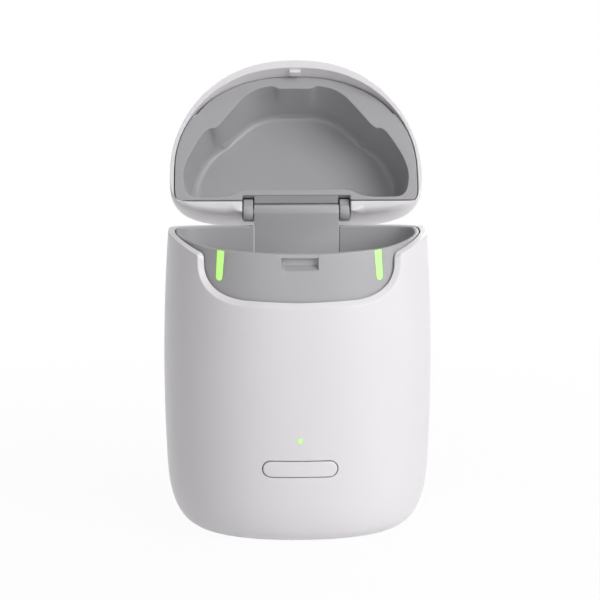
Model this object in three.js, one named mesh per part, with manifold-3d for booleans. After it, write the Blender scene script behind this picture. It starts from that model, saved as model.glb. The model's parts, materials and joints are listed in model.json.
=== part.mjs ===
// A tabletop charger with a hinged lid, drawn with its lid open. All sizes are in millimetres and
// +Z is up. The front faces -Y, and the origin is the middle of the rubber pad that it stands on.
import * as THREE from 'three';
import { mergeVertices } from 'three/addons/utils/BufferGeometryUtils.js';
import Module from 'manifold-3d';

const wasm = await Module();
wasm.setup();

// Driving dimensions: the body.
const halfWidth = 39.4; // widest half width
const halfDepth = 25.8; // half of the depth, front to back
const wideY = 11.4; // the widest line lies this far behind the middle
const frontPower = 2.28; // roundness of the outline in front of the widest line
const backPower = 4.6; // and behind it
const bellyHeight = 45; // height at which the walls are widest
const crestHeight = 86.6; // highest point of the joint line between body and lid
const crestY = 4; // and where it is
const frontDrop = 8.8; // how far the joint line falls towards the front
const backDrop = 1.25; // and towards the hinge
const rimDrawIn = 1.6; // how far the walls lean in at the crest
const rimLeanShare = 1.5; // the front leans in more than the sides, by this factor
const bottomRound = 19; // height of the rounded bottom edge
const bottomDrawIn = 9.6; // and its width
const bottomPower = 2.7;
const shellWall = 2;

// Driving dimensions: the lid and its hinge.
const lidHeight = 18.8; // from the crest to the edge of the crown
const lidCrown = 0.9;
const lidDrawIn = 7.3;
const lidTopPower = 3.3; // the back of the lid is rounder at its top than at the joint
const lidWall = 1.2;
const lidBackWall = 3.6; // the back wall is thicker, for the hinge
const hingeSet = 2.6; // the hinge's distance from the back
const hingeRise = 2.6; // and its height above the crest
const hingeY = halfDepth - hingeSet;
const hingeZ = crestHeight + hingeRise;
const openAngle = 128; // degrees from closed to the open stop
const pinRadius = 1;
const knuckleRadius = 2.6;
const towerHalfWidth = 12.6;

// Driving dimensions: the dock inside the body.
const dockStep = 1.4; // its top edge at the front lies this much below the crest
const dockFrontHeight = crestHeight - dockStep;
const wellDepth = 12.8;
const dockHeight = 18.8;
const lipWall = 1.4;

// Clearances.
const gap = 0.3; // between two pieces that touch
const overrun = 1; // how far a cut reaches past the surface that it opens
const skin = 0.02; // sinks one part of a piece into the next, so that they join
const tolerance = 0.00001; // points closer than this are one point

// Numbers of segments.
const frontSteps = 26;
const backSteps = 12;
const barSteps = 14;
const screwSteps = 12;
const driveSides = 6;
const wideSteps = 24;
const fewSegments = 4; // of an arc in a drawn outline
const someSegments = 5;
const manySegments = 8;

// Turns a profile drawn in two axes so that it is extruded along the third.
const turnYZ = new THREE.Matrix4().makeBasis(
  new THREE.Vector3(0, 1, 0), new THREE.Vector3(0, 0, 1), new THREE.Vector3(1, 0, 0));
const turnXZ = new THREE.Matrix4().makeBasis(
  new THREE.Vector3(1, 0, 0), new THREE.Vector3(0, 0, 1), new THREE.Vector3(0, -1, 0));

function solid(geometry) {
  const bare = geometry.clone();
  bare.deleteAttribute('normal');
  bare.deleteAttribute('uv');
  const merged = mergeVertices(bare, tolerance);
  return new wasm.Manifold(new wasm.Mesh({
    numProp: 3,
    vertProperties: new Float32Array(merged.attributes.position.array),
    triVerts: new Uint32Array(merged.index.array),
  }));
}

function geometryOf(manifold) {
  const mesh = manifold.getMesh();
  const geometry = new THREE.BufferGeometry();
  geometry.setAttribute('position', new THREE.BufferAttribute(new Float32Array(mesh.vertProperties), 3));
  geometry.setIndex(new THREE.BufferAttribute(new Uint32Array(mesh.triVerts), 1));
  geometry.computeVertexNormals();
  return geometry;
}

function join(...parts) {
  return parts.reduce((sum, part) => sum.add(part));
}

function cut(body, ...tools) {
  return tools.reduce((rest, tool) => rest.subtract(tool), body);
}

// A box between two corners, given as its range along each axis.
function block([x0, x1], [y0, y1], [z0, z1]) {
  const geometry = new THREE.BoxGeometry(x1 - x0, y1 - y0, z1 - z0);
  geometry.translate((x0 + x1) / 2, (y0 + y1) / 2, (z0 + z1) / 2);
  return solid(geometry);
}

// A round bar along an axis, with its middle at a place in the other two.
function bar(radius, axis, [from, to], [u, v], steps = barSteps) {
  const geometry = new THREE.CylinderGeometry(radius, radius, to - from, steps);
  const middle = (from + to) / 2;
  if (axis === 'x') {
    geometry.rotateZ(Math.PI / 2);
    geometry.translate(middle, u, v);
  } else if (axis === 'y') {
    geometry.translate(u, middle, v);
  } else {
    geometry.rotateX(Math.PI / 2);
    geometry.translate(u, v, middle);
  }
  return solid(geometry);
}

function extruded(shape, depth, curveSegments = someSegments) {
  return new THREE.ExtrudeGeometry(shape, { depth, bevelEnabled: false, curveSegments });
}

function prismX(shape, [x0, x1], curveSegments = manySegments) {
  const geometry = extruded(shape, x1 - x0, curveSegments);
  geometry.applyMatrix4(turnYZ);
  geometry.translate(x0, 0, 0);
  return solid(geometry);
}

function prismY(shape, [y0, y1], curveSegments = manySegments) {
  const geometry = extruded(shape, y1 - y0, curveSegments);
  geometry.applyMatrix4(turnXZ);
  geometry.translate(0, y1, 0);
  return solid(geometry);
}

function prismZ(shape, [z0, z1], curveSegments) {
  const geometry = extruded(shape, z1 - z0, curveSegments);
  geometry.translate(0, 0, z0);
  return solid(geometry);
}

// An outline with straight sides and round ends.
function pill(halfLength, radius, [u, v]) {
  const shape = new THREE.Shape();
  const straight = halfLength - radius;
  shape.absarc(u + straight, v, radius, -Math.PI / 2, Math.PI / 2, false);
  shape.absarc(u - straight, v, radius, Math.PI / 2, Math.PI * 1.5, false);
  return shape;
}

function roundedRectangle(halfX, halfY, radius, [u, v]) {
  const shape = new THREE.Shape();
  const cornerX = halfX - radius;
  const cornerY = halfY - radius;
  shape.absarc(u + cornerX, v + cornerY, radius, 0, Math.PI / 2, false);
  shape.absarc(u - cornerX, v + cornerY, radius, Math.PI / 2, Math.PI, false);
  shape.absarc(u - cornerX, v - cornerY, radius, Math.PI, Math.PI * 1.5, false);
  shape.absarc(u + cornerX, v - cornerY, radius, Math.PI * 1.5, Math.PI * 2, false);
  return shape;
}

// The outline of the body, seen from above, drawn in at its sides, its front and its back.
function outline(side, front, back, power = backPower) {
  const points = [];
  const middle = (front - back) / 2;
  const shrinkX = (halfWidth - side) / halfWidth;
  const shrinkY = (halfDepth - (front + back) / 2) / halfDepth;
  const place = (angle, reach, roundness) => {
    const across = Math.cos(angle);
    const along = Math.sin(angle);
    const x = halfWidth * Math.sign(across) * Math.abs(across) ** (2 / roundness);
    const y = wideY + reach * Math.sign(along) * Math.abs(along) ** (2 / roundness);
    points.push([x * shrinkX, middle + y * shrinkY]);
  };
  for (let step = 0; step < backSteps; step += 1) {
    place(Math.PI * step / backSteps, halfDepth - wideY, power);
  }
  for (let step = 0; step < frontSteps; step += 1) {
    place(Math.PI + Math.PI * step / frontSteps, halfDepth + wideY, frontPower);
  }
  return points;
}

function shapeOf(ring) {
  return new THREE.Shape(ring.map(([x, y]) => new THREE.Vector2(x, y)));
}

// A closed body through a stack of rings of equal length, from the lowest up.
function loft(levels) {
  const count = levels[0].ring.length;
  const positions = levels.flatMap(({ ring, z }) => ring.flatMap(([x, y]) => [x, y, z]));
  const indices = [];
  for (let level = 0; level + 1 < levels.length; level += 1) {
    for (let step = 0; step < count; step += 1) {
      const a = level * count + step;
      const b = level * count + (step + 1) % count;
      indices.push(a, b, b + count, a, b + count, a + count);
    }
  }
  const capOf = (ring) => {
    const flat = ring.map(([x, y]) => new THREE.Vector2(x, y));
    return THREE.ShapeUtils.triangulateShape(flat, []);
  };
  const top = (levels.length - 1) * count;
  capOf(levels[0].ring).forEach(([a, b, c]) => indices.push(a, c, b));
  capOf(levels.at(-1).ring).forEach(([a, b, c]) => indices.push(top + a, top + b, top + c));
  const geometry = new THREE.BufferGeometry();
  geometry.setAttribute('position', new THREE.Float32BufferAttribute(positions, 3));
  geometry.setIndex(indices);
  return solid(geometry);
}

// How far the wall lies inside the widest outline at a height: its lean, and the bottom edge.
function leanAt(z) {
  const share = (z - bellyHeight) / (crestHeight - bellyHeight);
  return rimDrawIn * share * share;
}

function bottomInset(z) {
  const share = Math.max(0, (bottomRound - z) / bottomRound);
  return bottomDrawIn * (1 - (1 - share ** bottomPower) ** (1 / bottomPower));
}

function frontInset(z, depth) {
  const factor = z > bellyHeight ? rimLeanShare : 1;
  return leanAt(z) * factor + bottomInset(z) + depth;
}

function sideInset(z, depth) {
  return leanAt(z) + bottomInset(z) + depth;
}

function bodyRing(z, depth = 0) {
  return outline(sideInset(z, depth), frontInset(z, depth), sideInset(z, depth));
}

const roundShares = [0.03, 0.1, 0.22, 0.42, 0.68, 1];
const uprightShares = [0.3, 0.65];

// A body that follows the outer wall at a depth inside it.
function bodyCore(depth, low, high) {
  const rounded = roundShares.map((share) => share * bottomRound);
  const upright = uprightShares.map((share) => bellyHeight + share * (crestHeight - bellyHeight));
  const between = [...rounded, bellyHeight, ...upright, crestHeight].filter((z) => z > low && z < high);
  return loft([low, ...between, high].map((z) => ({ z, ring: bodyRing(z, depth) })));
}

// The joint line is a parabola on each side of its crest. It is the same for body and lid.
function jointAt(y, lift, drop) {
  const reach = y < crestY ? halfDepth + crestY : halfDepth - crestY;
  const fall = y < crestY ? frontDrop : drop;
  return crestHeight + lift - fall * ((y - crestY) / reach) ** 2;
}

const cutReach = 60; // how far a cut goes above or below the joint line

function beyondJoint(lift, drop, direction) {
  const shape = new THREE.Shape();
  const front = -halfDepth - overrun;
  const back = halfDepth + overrun;
  const crest = crestHeight + lift;
  const far = crestHeight + direction * cutReach;
  shape.moveTo(front, jointAt(front, lift, drop));
  shape.quadraticCurveTo((front + crestY) / 2, crest, crestY, crest);
  shape.quadraticCurveTo((crestY + back) / 2, crest, back, jointAt(back, lift, drop));
  shape.lineTo(back, far);
  shape.lineTo(front, far);
  return prismX(shape, [-halfWidth - overrun, halfWidth + overrun]);
}

// The scoop in the front wall. The dock shows through it, and a finger lifts the lid there.
const scoopHalfWidth = 26.6;
const scoopDepth = 14.7; // from the crest down
const scoopStraight = 6.1; // its sides are straight this far down from the crest
const scoopBottom = crestHeight - scoopDepth;
const scoopBend = crestHeight - scoopStraight;
const scoopFloorShare = 0.6; // its bottom is almost level for this share of its width
const scoopFloorHalf = scoopFloorShare * scoopHalfWidth;
const scoopRise = 0.45;
const scoopCornerShares = [0.845, 0.115, 0.9925, 0.43];

function scoop() {
  const low = scoopBottom + scoopRise;
  const [x1, z1, x2, z2] = scoopCornerShares;
  const height = scoopBend - scoopBottom;
  const shape = new THREE.Shape();
  shape.moveTo(0, scoopBottom);
  shape.lineTo(scoopFloorHalf, low);
  shape.bezierCurveTo(scoopHalfWidth * x1, scoopBottom + height * z1,
    scoopHalfWidth * x2, scoopBottom + height * z2, scoopHalfWidth, scoopBend);
  shape.lineTo(scoopHalfWidth, crestHeight + cutReach);
  shape.lineTo(-scoopHalfWidth, crestHeight + cutReach);
  shape.lineTo(-scoopHalfWidth, scoopBend);
  shape.bezierCurveTo(-scoopHalfWidth * x2, scoopBottom + height * z2,
    -scoopHalfWidth * x1, scoopBottom + height * z1, -scoopFloorHalf, low);
  return prismY(shape, [-halfDepth - overrun, 0]);
}

// Screws.
const headRadius = 2;
const headHeight = 1.2;
const shankRadius = 1;
const driveShare = 0.45; // the drive is a six-sided hole, half as deep as the head

function screwDown(radius, shank, [x, y], base, length) {
  const head = bar(radius, 'z', [base, base + headHeight], [x, y]);
  const drive = bar(radius * driveShare, 'z', [base + headHeight / 2, base + headHeight + overrun],
    [x, y], driveSides);
  const stem = bar(shank, 'z', [base - length, base + skin], [x, y], screwSteps);
  return cut(join(head, stem), drive);
}

function screwUp(radius, shank, [x, y], base, length) {
  const head = bar(radius, 'z', [base, base + headHeight], [x, y]);
  const top = base + headHeight;
  const drive = bar(radius * driveShare, 'z', [base - overrun, base + headHeight / 2], [x, y], driveSides);
  const stem = bar(shank, 'z', [top - skin, top + length], [x, y], screwSteps);
  return cut(join(head, stem), drive);
}

// Heights and places inside the body.
const shellBase = 0.5; // underside of the shell above the table
const floorWall = 1.9;
const floorTop = shellBase + floorWall;
const coverWall = 2.6;
const coverTop = shellBase + coverWall;
const padWall = 1.2;
const boardLow = 8;
const boardWall = 1.2;
const plateLow = 14.4;
const plateWall = 1.8;
const plateTop = plateLow + plateWall;
const deckTop = dockFrontHeight - wellDepth; // floor of the well
const deckWall = 2.4;
const deckBottom = deckTop - deckWall;
const dockBottom = dockFrontHeight - dockHeight;
const dockGap = 0.4; // between the shell and the dock
const dockDepth = shellWall + dockGap;

// The back of the shell and of the dock is notched for the hinge tower.
const towerFront = hingeY - knuckleRadius;
const towerBack = halfDepth - rimDrawIn;
const towerDepth = 13; // from the crest down
const towerLow = crestHeight - towerDepth;
const webWall = 1.9; // of the web that joins the tower to its foot
const footReach = 4.2;
const webFront = towerFront - webWall;
const footFront = webFront - footReach;

function towerNotch() {
  return block([-towerHalfWidth - gap, towerHalfWidth + gap], [towerFront - overrun, halfDepth + overrun],
    [towerLow - gap, crestHeight + cutReach]);
}

// The button, the status light and the port.
const buttonHalf = 10.5;
const buttonRadius = 2.1;
const buttonZ = 23.5;
const buttonProud = 0.2;
const buttonFlange = 1.5; // how far the flange reaches past the cap
const flangeWall = 0.8;
const lightZ = 31.8;
const lightRadius = 0.9;
const lightFlange = 1.1;
const portHalfWidth = 4.5;
const portHalfHeight = 1.6;
const portEndShare = 0.98; // the ends of the port are almost half round
const portZ = boardLow + boardWall + gap + portHalfHeight;

function portOutline(grow) {
  const halfHeight = portHalfHeight + grow;
  return roundedRectangle(portHalfWidth + grow, halfHeight, halfHeight * portEndShare, [0, portZ]);
}

function outerShell() {
  const front = [-halfDepth - overrun, -halfDepth / 2];
  const body = bodyCore(0, shellBase, crestHeight + overrun);
  const hollow = bodyCore(shellWall, floorTop, crestHeight + overrun * 2);
  return cut(body, hollow,
    prismZ(shapeOf(coverRing(0)), [shellBase - overrun, floorTop + overrun]),
    beyondJoint(0, backDrop, 1),
    scoop(),
    towerNotch(),
    prismY(pill(buttonHalf + gap, buttonRadius + gap, [0, buttonZ]), front),
    bar(lightRadius + gap, 'y', front, [0, lightZ]),
    prismY(portOutline(gap), [0, halfDepth + overrun], fewSegments));
}

// The bottom cover with its four screws and the rubber pad.
const coverLand = 2.2; // width of the shell's floor around the cover
const padLand = 2; // width of the cover around the pad
const screwXShare = 0.406; // of the half width
const screwYShares = [-0.29, 0.407]; // of the half depth
const screwX = screwXShare * halfWidth;
const [screwFrontY, screwBackY] = screwYShares.map((share) => share * halfDepth);
const screwPlaces = [
  [-screwX, screwFrontY], [screwX, screwFrontY], [screwX, screwBackY], [-screwX, screwBackY],
];
const legRadius = 2.9;
const pilotDepth = 8;
const screwShare = 0.8; // of the depth of its hole
const headLow = padWall + gap;

function coverRing(clearance) {
  return bodyRing(shellBase, coverLand + clearance);
}

function padRing(clearance) {
  return bodyRing(shellBase, coverLand + padLand - clearance);
}

function bottomCover() {
  const plate = prismZ(shapeOf(coverRing(gap)), [shellBase, coverTop]);
  const holes = screwPlaces.flatMap((place) => [
    bar(headRadius + gap, 'z', [0, headLow + headHeight + gap], place),
    bar(shankRadius + gap, 'z', [0, coverTop + overrun], place, screwSteps),
  ]);
  return cut(plate, prismZ(shapeOf(padRing(gap)), [0, padWall + gap]), ...holes);
}

function footPad() {
  return prismZ(shapeOf(padRing(0)), [0, padWall]);
}

function baseScrew(place) {
  return screwUp(headRadius, shankRadius, place, headLow, pilotDepth * screwShare);
}

// The chassis: a plate on four legs, two posts under the dock, and walls around the battery.
const collarRadius = 4.2; // the legs widen under the main board
const postXShare = 0.452; // of the half width
const postYShare = 0.252; // of the half depth
const postX = postXShare * halfWidth;
const postY = postYShare * halfDepth;
const postRadius = 3;
const trayWall = 1.2;
const cellHalfX = postX - postRadius - trayWall - gap - gap;
const cellHalfY = 4.8;
const cellYShare = 0.093; // of the half depth
const cellY = cellYShare * halfDepth;
const cellClear = 10.7; // from the top of the battery to the bottom of the dock
const cellHeight = dockBottom - cellClear - plateTop;
const cellRadiusShare = 0.6;
const cellRadius = cellRadiusShare * cellHalfY;
const trayHeight = 9.8;
const wireRadius = 5;
const panelSet = 9.6; // from the front to the back of the upright board behind the button
const panelBack = panelSet - halfDepth;
const panelWall = 1.2;
const panelHalf = 12;
const panelHeight = 21.5;
const ribWall = 1.4;
const ribHeight = 5.8;

function chassis() {
  const ring = bodyRing(plateLow, shellWall + gap);
  const plate = loft([{ z: plateLow, ring }, { z: plateTop, ring }]);
  const legs = screwPlaces.flatMap((place) => [
    bar(legRadius, 'z', [coverTop + gap, plateLow + skin], place),
    bar(collarRadius, 'z', [coverTop + gap, boardLow - gap], place),
  ]);
  const postHigh = [plateTop - skin, deckBottom - gap];
  const posts = [-postX, postX].map((x) => bar(postRadius, 'z', postHigh, [x, postY]));
  const trayX = cellHalfX + gap;
  const trayY = cellHalfY + gap;
  const trayHigh = [plateTop - skin, plateTop + trayHeight];
  const outerX = trayX + trayWall;
  const outerY = trayY + trayWall;
  const tray = cut(
    block([-outerX, outerX], [cellY - outerY, cellY + outerY], trayHigh),
    block([-trayX, trayX], [cellY - trayY, cellY + trayY], [plateTop - overrun, plateTop + cellHeight]));
  const ribFront = panelBack + gap;
  const rib = block([-panelHalf, panelHalf], [ribFront, ribFront + ribWall],
    [plateTop - skin, plateTop + ribHeight]);
  const wireHole = bar(wireRadius, 'z', [plateLow - overrun, plateTop + overrun],
    [0, cellY + outerY + wireRadius]);
  const legHoles = screwPlaces.map((place) => bar(shankRadius + gap, 'z',
    [coverTop, headLow + headHeight + pilotDepth], place, screwSteps));
  const postHoles = [-postX, postX].map((x) => bar(shankRadius + gap, 'z',
    [deckBottom - pilotDepth, deckBottom], [x, postY], screwSteps));
  return cut(join(plate, ...legs, ...posts, tray, rib), wireHole, ...legHoles, ...postHoles);
}

// The main board lies on the collars and carries the port.
const boardLand = 3.2;
const chipSize = 7;
const chipHeight = 1.1;
const chipPitchShare = 1.4; // the small chips lie this far to each side

function mainBoard() {
  const top = boardLow + boardWall;
  const plate = prismZ(shapeOf(bodyRing(boardLow, shellWall + boardLand)), [boardLow, top]);
  const through = [boardLow - overrun, top + overrun];
  const holes = screwPlaces.map((place) => bar(legRadius + gap, 'z', through, place));
  const chip = (x, y, size) => block([x - size / 2, x + size / 2], [y - size / 2, y + size / 2],
    [top - skin, top + chipHeight]);
  const side = chipSize * chipPitchShare;
  return join(cut(plate, ...holes), chip(0, -chipSize, chipSize),
    chip(side, -chipSize / 2, chipSize / 2), chip(-side, -chipSize / 2, chipSize / 2));
}

const portWall = 0.35;
const portDepth = 7.2;
const portRecess = 0.6; // how far it lies inside the wall
const portMouth = halfDepth - sideInset(portZ, portRecess);
const tongueHalfX = 3.2;
const tongueHalfZ = 0.35;

function usbSocket() {
  const back = portMouth - portDepth;
  const tube = cut(prismY(portOutline(0), [back, portMouth], fewSegments),
    prismY(portOutline(-portWall), [back + portWall, portMouth + overrun], fewSegments));
  const tongue = block([-tongueHalfX, tongueHalfX], [back + portWall - skin, portMouth - portRecess],
    [portZ - tongueHalfZ, portZ + tongueHalfZ]);
  return join(tube, tongue);
}

function batteryCell() {
  return prismZ(roundedRectangle(cellHalfX, cellHalfY, cellRadius, [0, cellY]),
    [plateTop + gap, plateTop + gap + cellHeight], fewSegments);
}

// The upright board with the switch and the status lamp.
const switchHalf = 3;
const switchDepth = 2.6;
const lampHalf = 1.1;
const lampDepth = 1;
const panelFront = panelBack - panelWall;
const switchBack = panelFront - gap;
const switchFront = switchBack - switchDepth;
const plungerRadius = 1.4;
const plungerSink = 0.8;
const buttonTravel = 0.6;

function frontBoard() {
  return block([-panelHalf, panelHalf], [panelFront, panelBack],
    [plateTop + gap, plateTop + gap + panelHeight]);
}

function buttonSwitch() {
  const body = block([-switchHalf, switchHalf], [switchFront, switchBack],
    [buttonZ - switchHalf, buttonZ + switchHalf]);
  return cut(body, bar(plungerRadius + gap, 'y',
    [switchFront - overrun, switchFront + plungerSink + buttonTravel + gap], [0, buttonZ]));
}

function statusLamp() {
  return block([-lampHalf, lampHalf], [switchBack - lampDepth, switchBack],
    [lightZ - lampHalf, lightZ + lampHalf]);
}

function statusLight() {
  const wall = frontInset(lightZ, 0) - halfDepth;
  const flange = wall + shellWall + gap + gap;
  return join(bar(lightRadius, 'y', [wall + skin, switchBack - lampDepth - gap], [0, lightZ]),
    bar(lightRadius + lightFlange, 'y', [flange, flange + flangeWall], [0, lightZ]));
}

// The button: a cap that follows the wall, a flange that holds it in, and a stem to the switch.
const flangeBack = frontInset(buttonZ, shellWall + gap + flangeWall) - halfDepth;
const stemRadius = 1.9;
const stemBack = switchFront - gap - buttonTravel;

function wallSlice(near, far) {
  const reach = buttonFlange + buttonRadius + overrun;
  return cut(bodyCore(near, buttonZ - reach, buttonZ + reach),
    bodyCore(far, buttonZ - reach - overrun, buttonZ + reach + overrun));
}

function frontButton() {
  const reach = [-halfDepth - overrun, -halfDepth / 2];
  const under = shellWall + gap;
  const cap = prismY(pill(buttonHalf, buttonRadius, [0, buttonZ]), reach)
    .intersect(wallSlice(-buttonProud, under + flangeWall));
  const flange = prismY(pill(buttonHalf + buttonFlange, buttonRadius + buttonFlange, [0, buttonZ]), reach)
    .intersect(wallSlice(under, under + flangeWall));
  return join(cap, flange, bar(stemRadius, 'y', [flangeBack - flangeWall / 2, stemBack], [0, buttonZ]));
}

function switchPlunger() {
  return bar(plungerRadius, 'y', [stemBack + gap, switchFront + plungerSink], [0, buttonZ]);
}

// The dock: a tub with a thin lip, walls that thicken downwards, and a flat deck.
const slopeDepth = 7; // the walls reach their full thickness this far down
const frontThicken = 2.8;
const sideThicken = 1.2;
const lipStep = 0.1; // its back edge lies this much below the shell's
const lipRiseFromShare = -0.58; // of the half depth, where the top edge starts to rise
const lipRiseFrom = lipRiseFromShare * halfDepth;
const lipRiseShares = [0.22, 0.06, 0.4, 1];
const barHalf = 1.15;
const barSet = 3.87; // from the side of the scoop to a bar
const barX = scoopHalfWidth - barSet;
const barLean = 0.045; // radians, the two bars lean together at the top
const barHeight = 8.1;
const barTop = dockFrontHeight - gap;
const barLow = barTop - barHeight;
const barDepth = 1;
const stripWall = 0.8;
const stripRise = 2.6; // the lamp strip ends this far above the bar's lower end
const stripTop = barLow + stripRise;
const pocketHalf = 5.2;
const pocketStrip = 1.2; // the pocket begins this far below the dock's edge
const pocketHeight = 3.4;
const pocketTop = dockFrontHeight - pocketStrip;
const pocketLow = pocketTop - pocketHeight;
const pocketDepth = 1.8;
const pocketRelief = 0.65;
const dockFace = frontInset(pocketTop, dockDepth) - halfDepth;

// The two bars of light in the dock's front wall, and the slots for them.
function barSlice(side, half, [near, far], [low, high]) {
  const shape = new THREE.Shape();
  const middle = low + half;
  shape.moveTo(-half, high);
  shape.lineTo(-half, middle);
  shape.absarc(0, middle, half, Math.PI, Math.PI * 2, false);
  shape.lineTo(half, high);
  const geometry = extruded(shape, halfDepth, fewSegments);
  geometry.applyMatrix4(turnXZ);
  geometry.translate(0, 0, -barLow);
  geometry.rotateY(-side * barLean);
  geometry.translate(side * barX, 0, barLow);
  return solid(geometry).intersect(cut(bodyCore(near, low - overrun, high + overrun),
    bodyCore(far, low - overrun * 2, high + overrun * 2)));
}

function wellRing(z) {
  const share = Math.min(1, (dockFrontHeight - z) / slopeDepth);
  const inner = dockDepth + lipWall;
  return outline(sideInset(z, inner) + sideThicken * share, frontInset(z, inner) + frontThicken * share,
    rimDrawIn + inner);
}

// What lies above the dock's top edge, or below the same curve lifted for the liner.
function beyondDock(lift, direction) {
  const shape = new THREE.Shape();
  const front = -halfDepth - overrun;
  const back = halfDepth + overrun;
  const low = dockFrontHeight + lift;
  const crest = crestHeight - lipStep + lift;
  const far = crestHeight + direction * cutReach;
  const run = crestY - lipRiseFrom;
  const rise = crest - low;
  const [y1, z1, y2, z2] = lipRiseShares;
  shape.moveTo(front, low);
  shape.lineTo(lipRiseFrom, low);
  shape.bezierCurveTo(lipRiseFrom + run * y1, low + rise * z1,
    lipRiseFrom + run * y2, low + rise * z2, crestY, crest);
  shape.quadraticCurveTo((crestY + back) / 2, crest, back, jointAt(back, lift - lipStep, backDrop));
  shape.lineTo(back, far);
  shape.lineTo(front, far);
  return prismX(shape, [-halfWidth, halfWidth]);
}

function dockTub() {
  const above = crestHeight + overrun;
  const rim = dockFrontHeight;
  const body = bodyCore(dockDepth, dockBottom, above);
  const well = loft([
    { z: deckTop, ring: wellRing(deckTop) },
    { z: rim - slopeDepth, ring: wellRing(rim - slopeDepth) },
    { z: rim, ring: wellRing(rim) },
    { z: above + overrun, ring: wellRing(rim) },
  ]);
  const pocketX = [-pocketHalf, pocketHalf];
  const tools = [-1, 1].flatMap((side) => [
    barSlice(side, barHalf + gap, [dockDepth - overrun, dockDepth + barDepth + gap], [barLow - gap, above]),
    barSlice(side, barHalf, [dockDepth + barDepth, dockDepth + barDepth + gap + stripWall + gap],
      [dockBottom - overrun, stripTop + gap]),
    bar(headRadius + gap, 'z', [deckTop - headHeight - gap, deckTop + overrun], [side * postX, postY]),
    bar(shankRadius + gap, 'z', [deckBottom - overrun, deckTop], [side * postX, postY], screwSteps),
    bar(footShank + gap, 'z', [deckBottom + gap, deckTop + overrun],
      [side * footScrewX, footScrewY], screwSteps),
  ]);
  return cut(body, beyondDock(0, 1), well,
    bodyCore(dockDepth + lipWall, dockBottom - overrun, deckBottom),
    block(pocketX, [dockFace - overrun, dockFace + pocketDepth], [pocketLow, pocketTop]),
    block(pocketX, [dockFace - overrun, dockFace + pocketRelief], [pocketTop - skin, above]),
    towerNotch(), ...tools);
}

function lightBar(side) {
  return barSlice(side, barHalf, [dockDepth, dockDepth + barDepth], [barLow, barTop]);
}

function lampStrip(side) {
  const near = dockDepth + barDepth + gap;
  return barSlice(side, barHalf - gap, [near, near + stripWall], [dockBottom, stripTop]);
}

function dockScrew(side) {
  return screwDown(headRadius, shankRadius, [side * postX, postY], deckTop - headHeight,
    deckWall - headHeight + pilotDepth * screwShare);
}

// The charging block on the deck, with two slots that lean outwards.
const slotXShare = 0.277; // of the half width
const slotX = slotXShare * halfWidth;
const slotHalfX = 7.1;
const slotHalfY = 4.6;
const slotRadiusShare = 0.74;
const slotRadius = slotRadiusShare * slotHalfY;
const islandRim = 2.5; // from a slot to the side of the block
const islandHalfX = slotX + slotHalfX + islandRim;
const islandFrontClear = 4.2; // from the well's front wall
const islandBackClear = 5.5; // from the hinge tower's foot
const islandFront = frontInset(deckTop, dockDepth + lipWall + frontThicken) + islandFrontClear - halfDepth;
const islandBack = footFront - islandBackClear;
const slotY = (islandFront + islandBack) / 2;
const islandRadius = 6;
const islandHeight = 6.2;
const islandLow = deckTop + gap;
const islandTop = islandLow + islandHeight;
const slotLean = 0.14; // radians
const slotBase = 1; // thickness of the block under the slots
const slotFloor = islandLow + slotBase;
const slotPadWall = 0.6;
const slotPadClear = 0.6; // the slot's sides lean over the pad

function slotCut(side) {
  const mouth = roundedRectangle(slotHalfX, slotHalfY, slotRadius, [0, 0]);
  const geometry = extruded(mouth, islandHeight + islandHeight);
  geometry.translate(0, 0, -islandHeight / 2);
  geometry.rotateY(side * slotLean);
  geometry.translate(side * slotX, slotY, slotFloor);
  const above = block([-halfWidth, halfWidth], [-halfDepth, halfDepth],
    [slotFloor, islandTop + islandHeight]);
  return solid(geometry).intersect(above);
}

function chargingBlock() {
  const halfY = (islandBack - islandFront) / 2;
  const island = prismZ(roundedRectangle(islandHalfX, halfY, islandRadius, [0, islandFront + halfY]),
    [islandLow, islandTop]);
  return cut(island, slotCut(-1), slotCut(1));
}

function slotPad(side) {
  return prismZ(roundedRectangle(slotHalfX - slotPadClear, slotHalfY - gap, slotRadius - gap,
    [side * slotX, slotY]), [slotFloor + gap, slotFloor + gap + slotPadWall]);
}

// Charging coils and their shields under the deck.
const coilRadius = 7.2;
const coilBore = 3;
const coilHeight = 1.6;
const shieldHeight = 1;

function chargingCoil(side) {
  const top = deckBottom - gap;
  const place = [side * slotX, slotY];
  return cut(bar(coilRadius, 'z', [top - coilHeight, top], place, wideSteps),
    bar(coilBore, 'z', [top - coilHeight - overrun, top + overrun], place));
}

function coilShield(side) {
  const top = deckBottom - gap * 2 - coilHeight;
  return bar(coilRadius, 'z', [top - shieldHeight, top], [side * slotX, slotY], wideSteps);
}

// The hinge tower stands in the notch at the back, on a foot that is screwed to the deck.
const webHeight = 4.5;
const footWall = 1.5;
const footHead = 1.6;
const footShank = 0.8;
const footScrewShare = 0.675; // of the tower's half width
const footScrewX = footScrewShare * towerHalfWidth;
const footScrewY = (webFront + footFront) / 2;
const footLow = deckTop + gap;
const pinClearance = 0.3;

function hingeTower() {
  const across = [-towerHalfWidth, towerHalfWidth];
  const wellBack = halfDepth - rimDrawIn - dockDepth - lipWall;
  const post = block(across, [towerFront, towerBack], [towerLow, hingeZ]);
  const barrel = bar(knuckleRadius, 'x', across, [hingeY, hingeZ], wideSteps);
  const web = block(across, [webFront, wellBack - gap - gap], [footLow, footLow + webHeight]);
  const bridge = block(across, [webFront, towerFront + skin], [towerLow, footLow + webHeight]);
  const foot = block(across, [footFront, webFront + skin], [footLow, footLow + footWall]);
  const pinHole = bar(pinRadius + pinClearance, 'x', [-towerHalfWidth - overrun, towerHalfWidth + overrun],
    [hingeY, hingeZ]);
  const screwHoles = [-footScrewX, footScrewX].map((x) => bar(footShank + gap, 'z',
    [footLow - overrun, footLow + footWall + overrun], [x, footScrewY], screwSteps));
  return cut(join(post, barrel, web, bridge, foot), pinHole, ...screwHoles);
}

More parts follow.
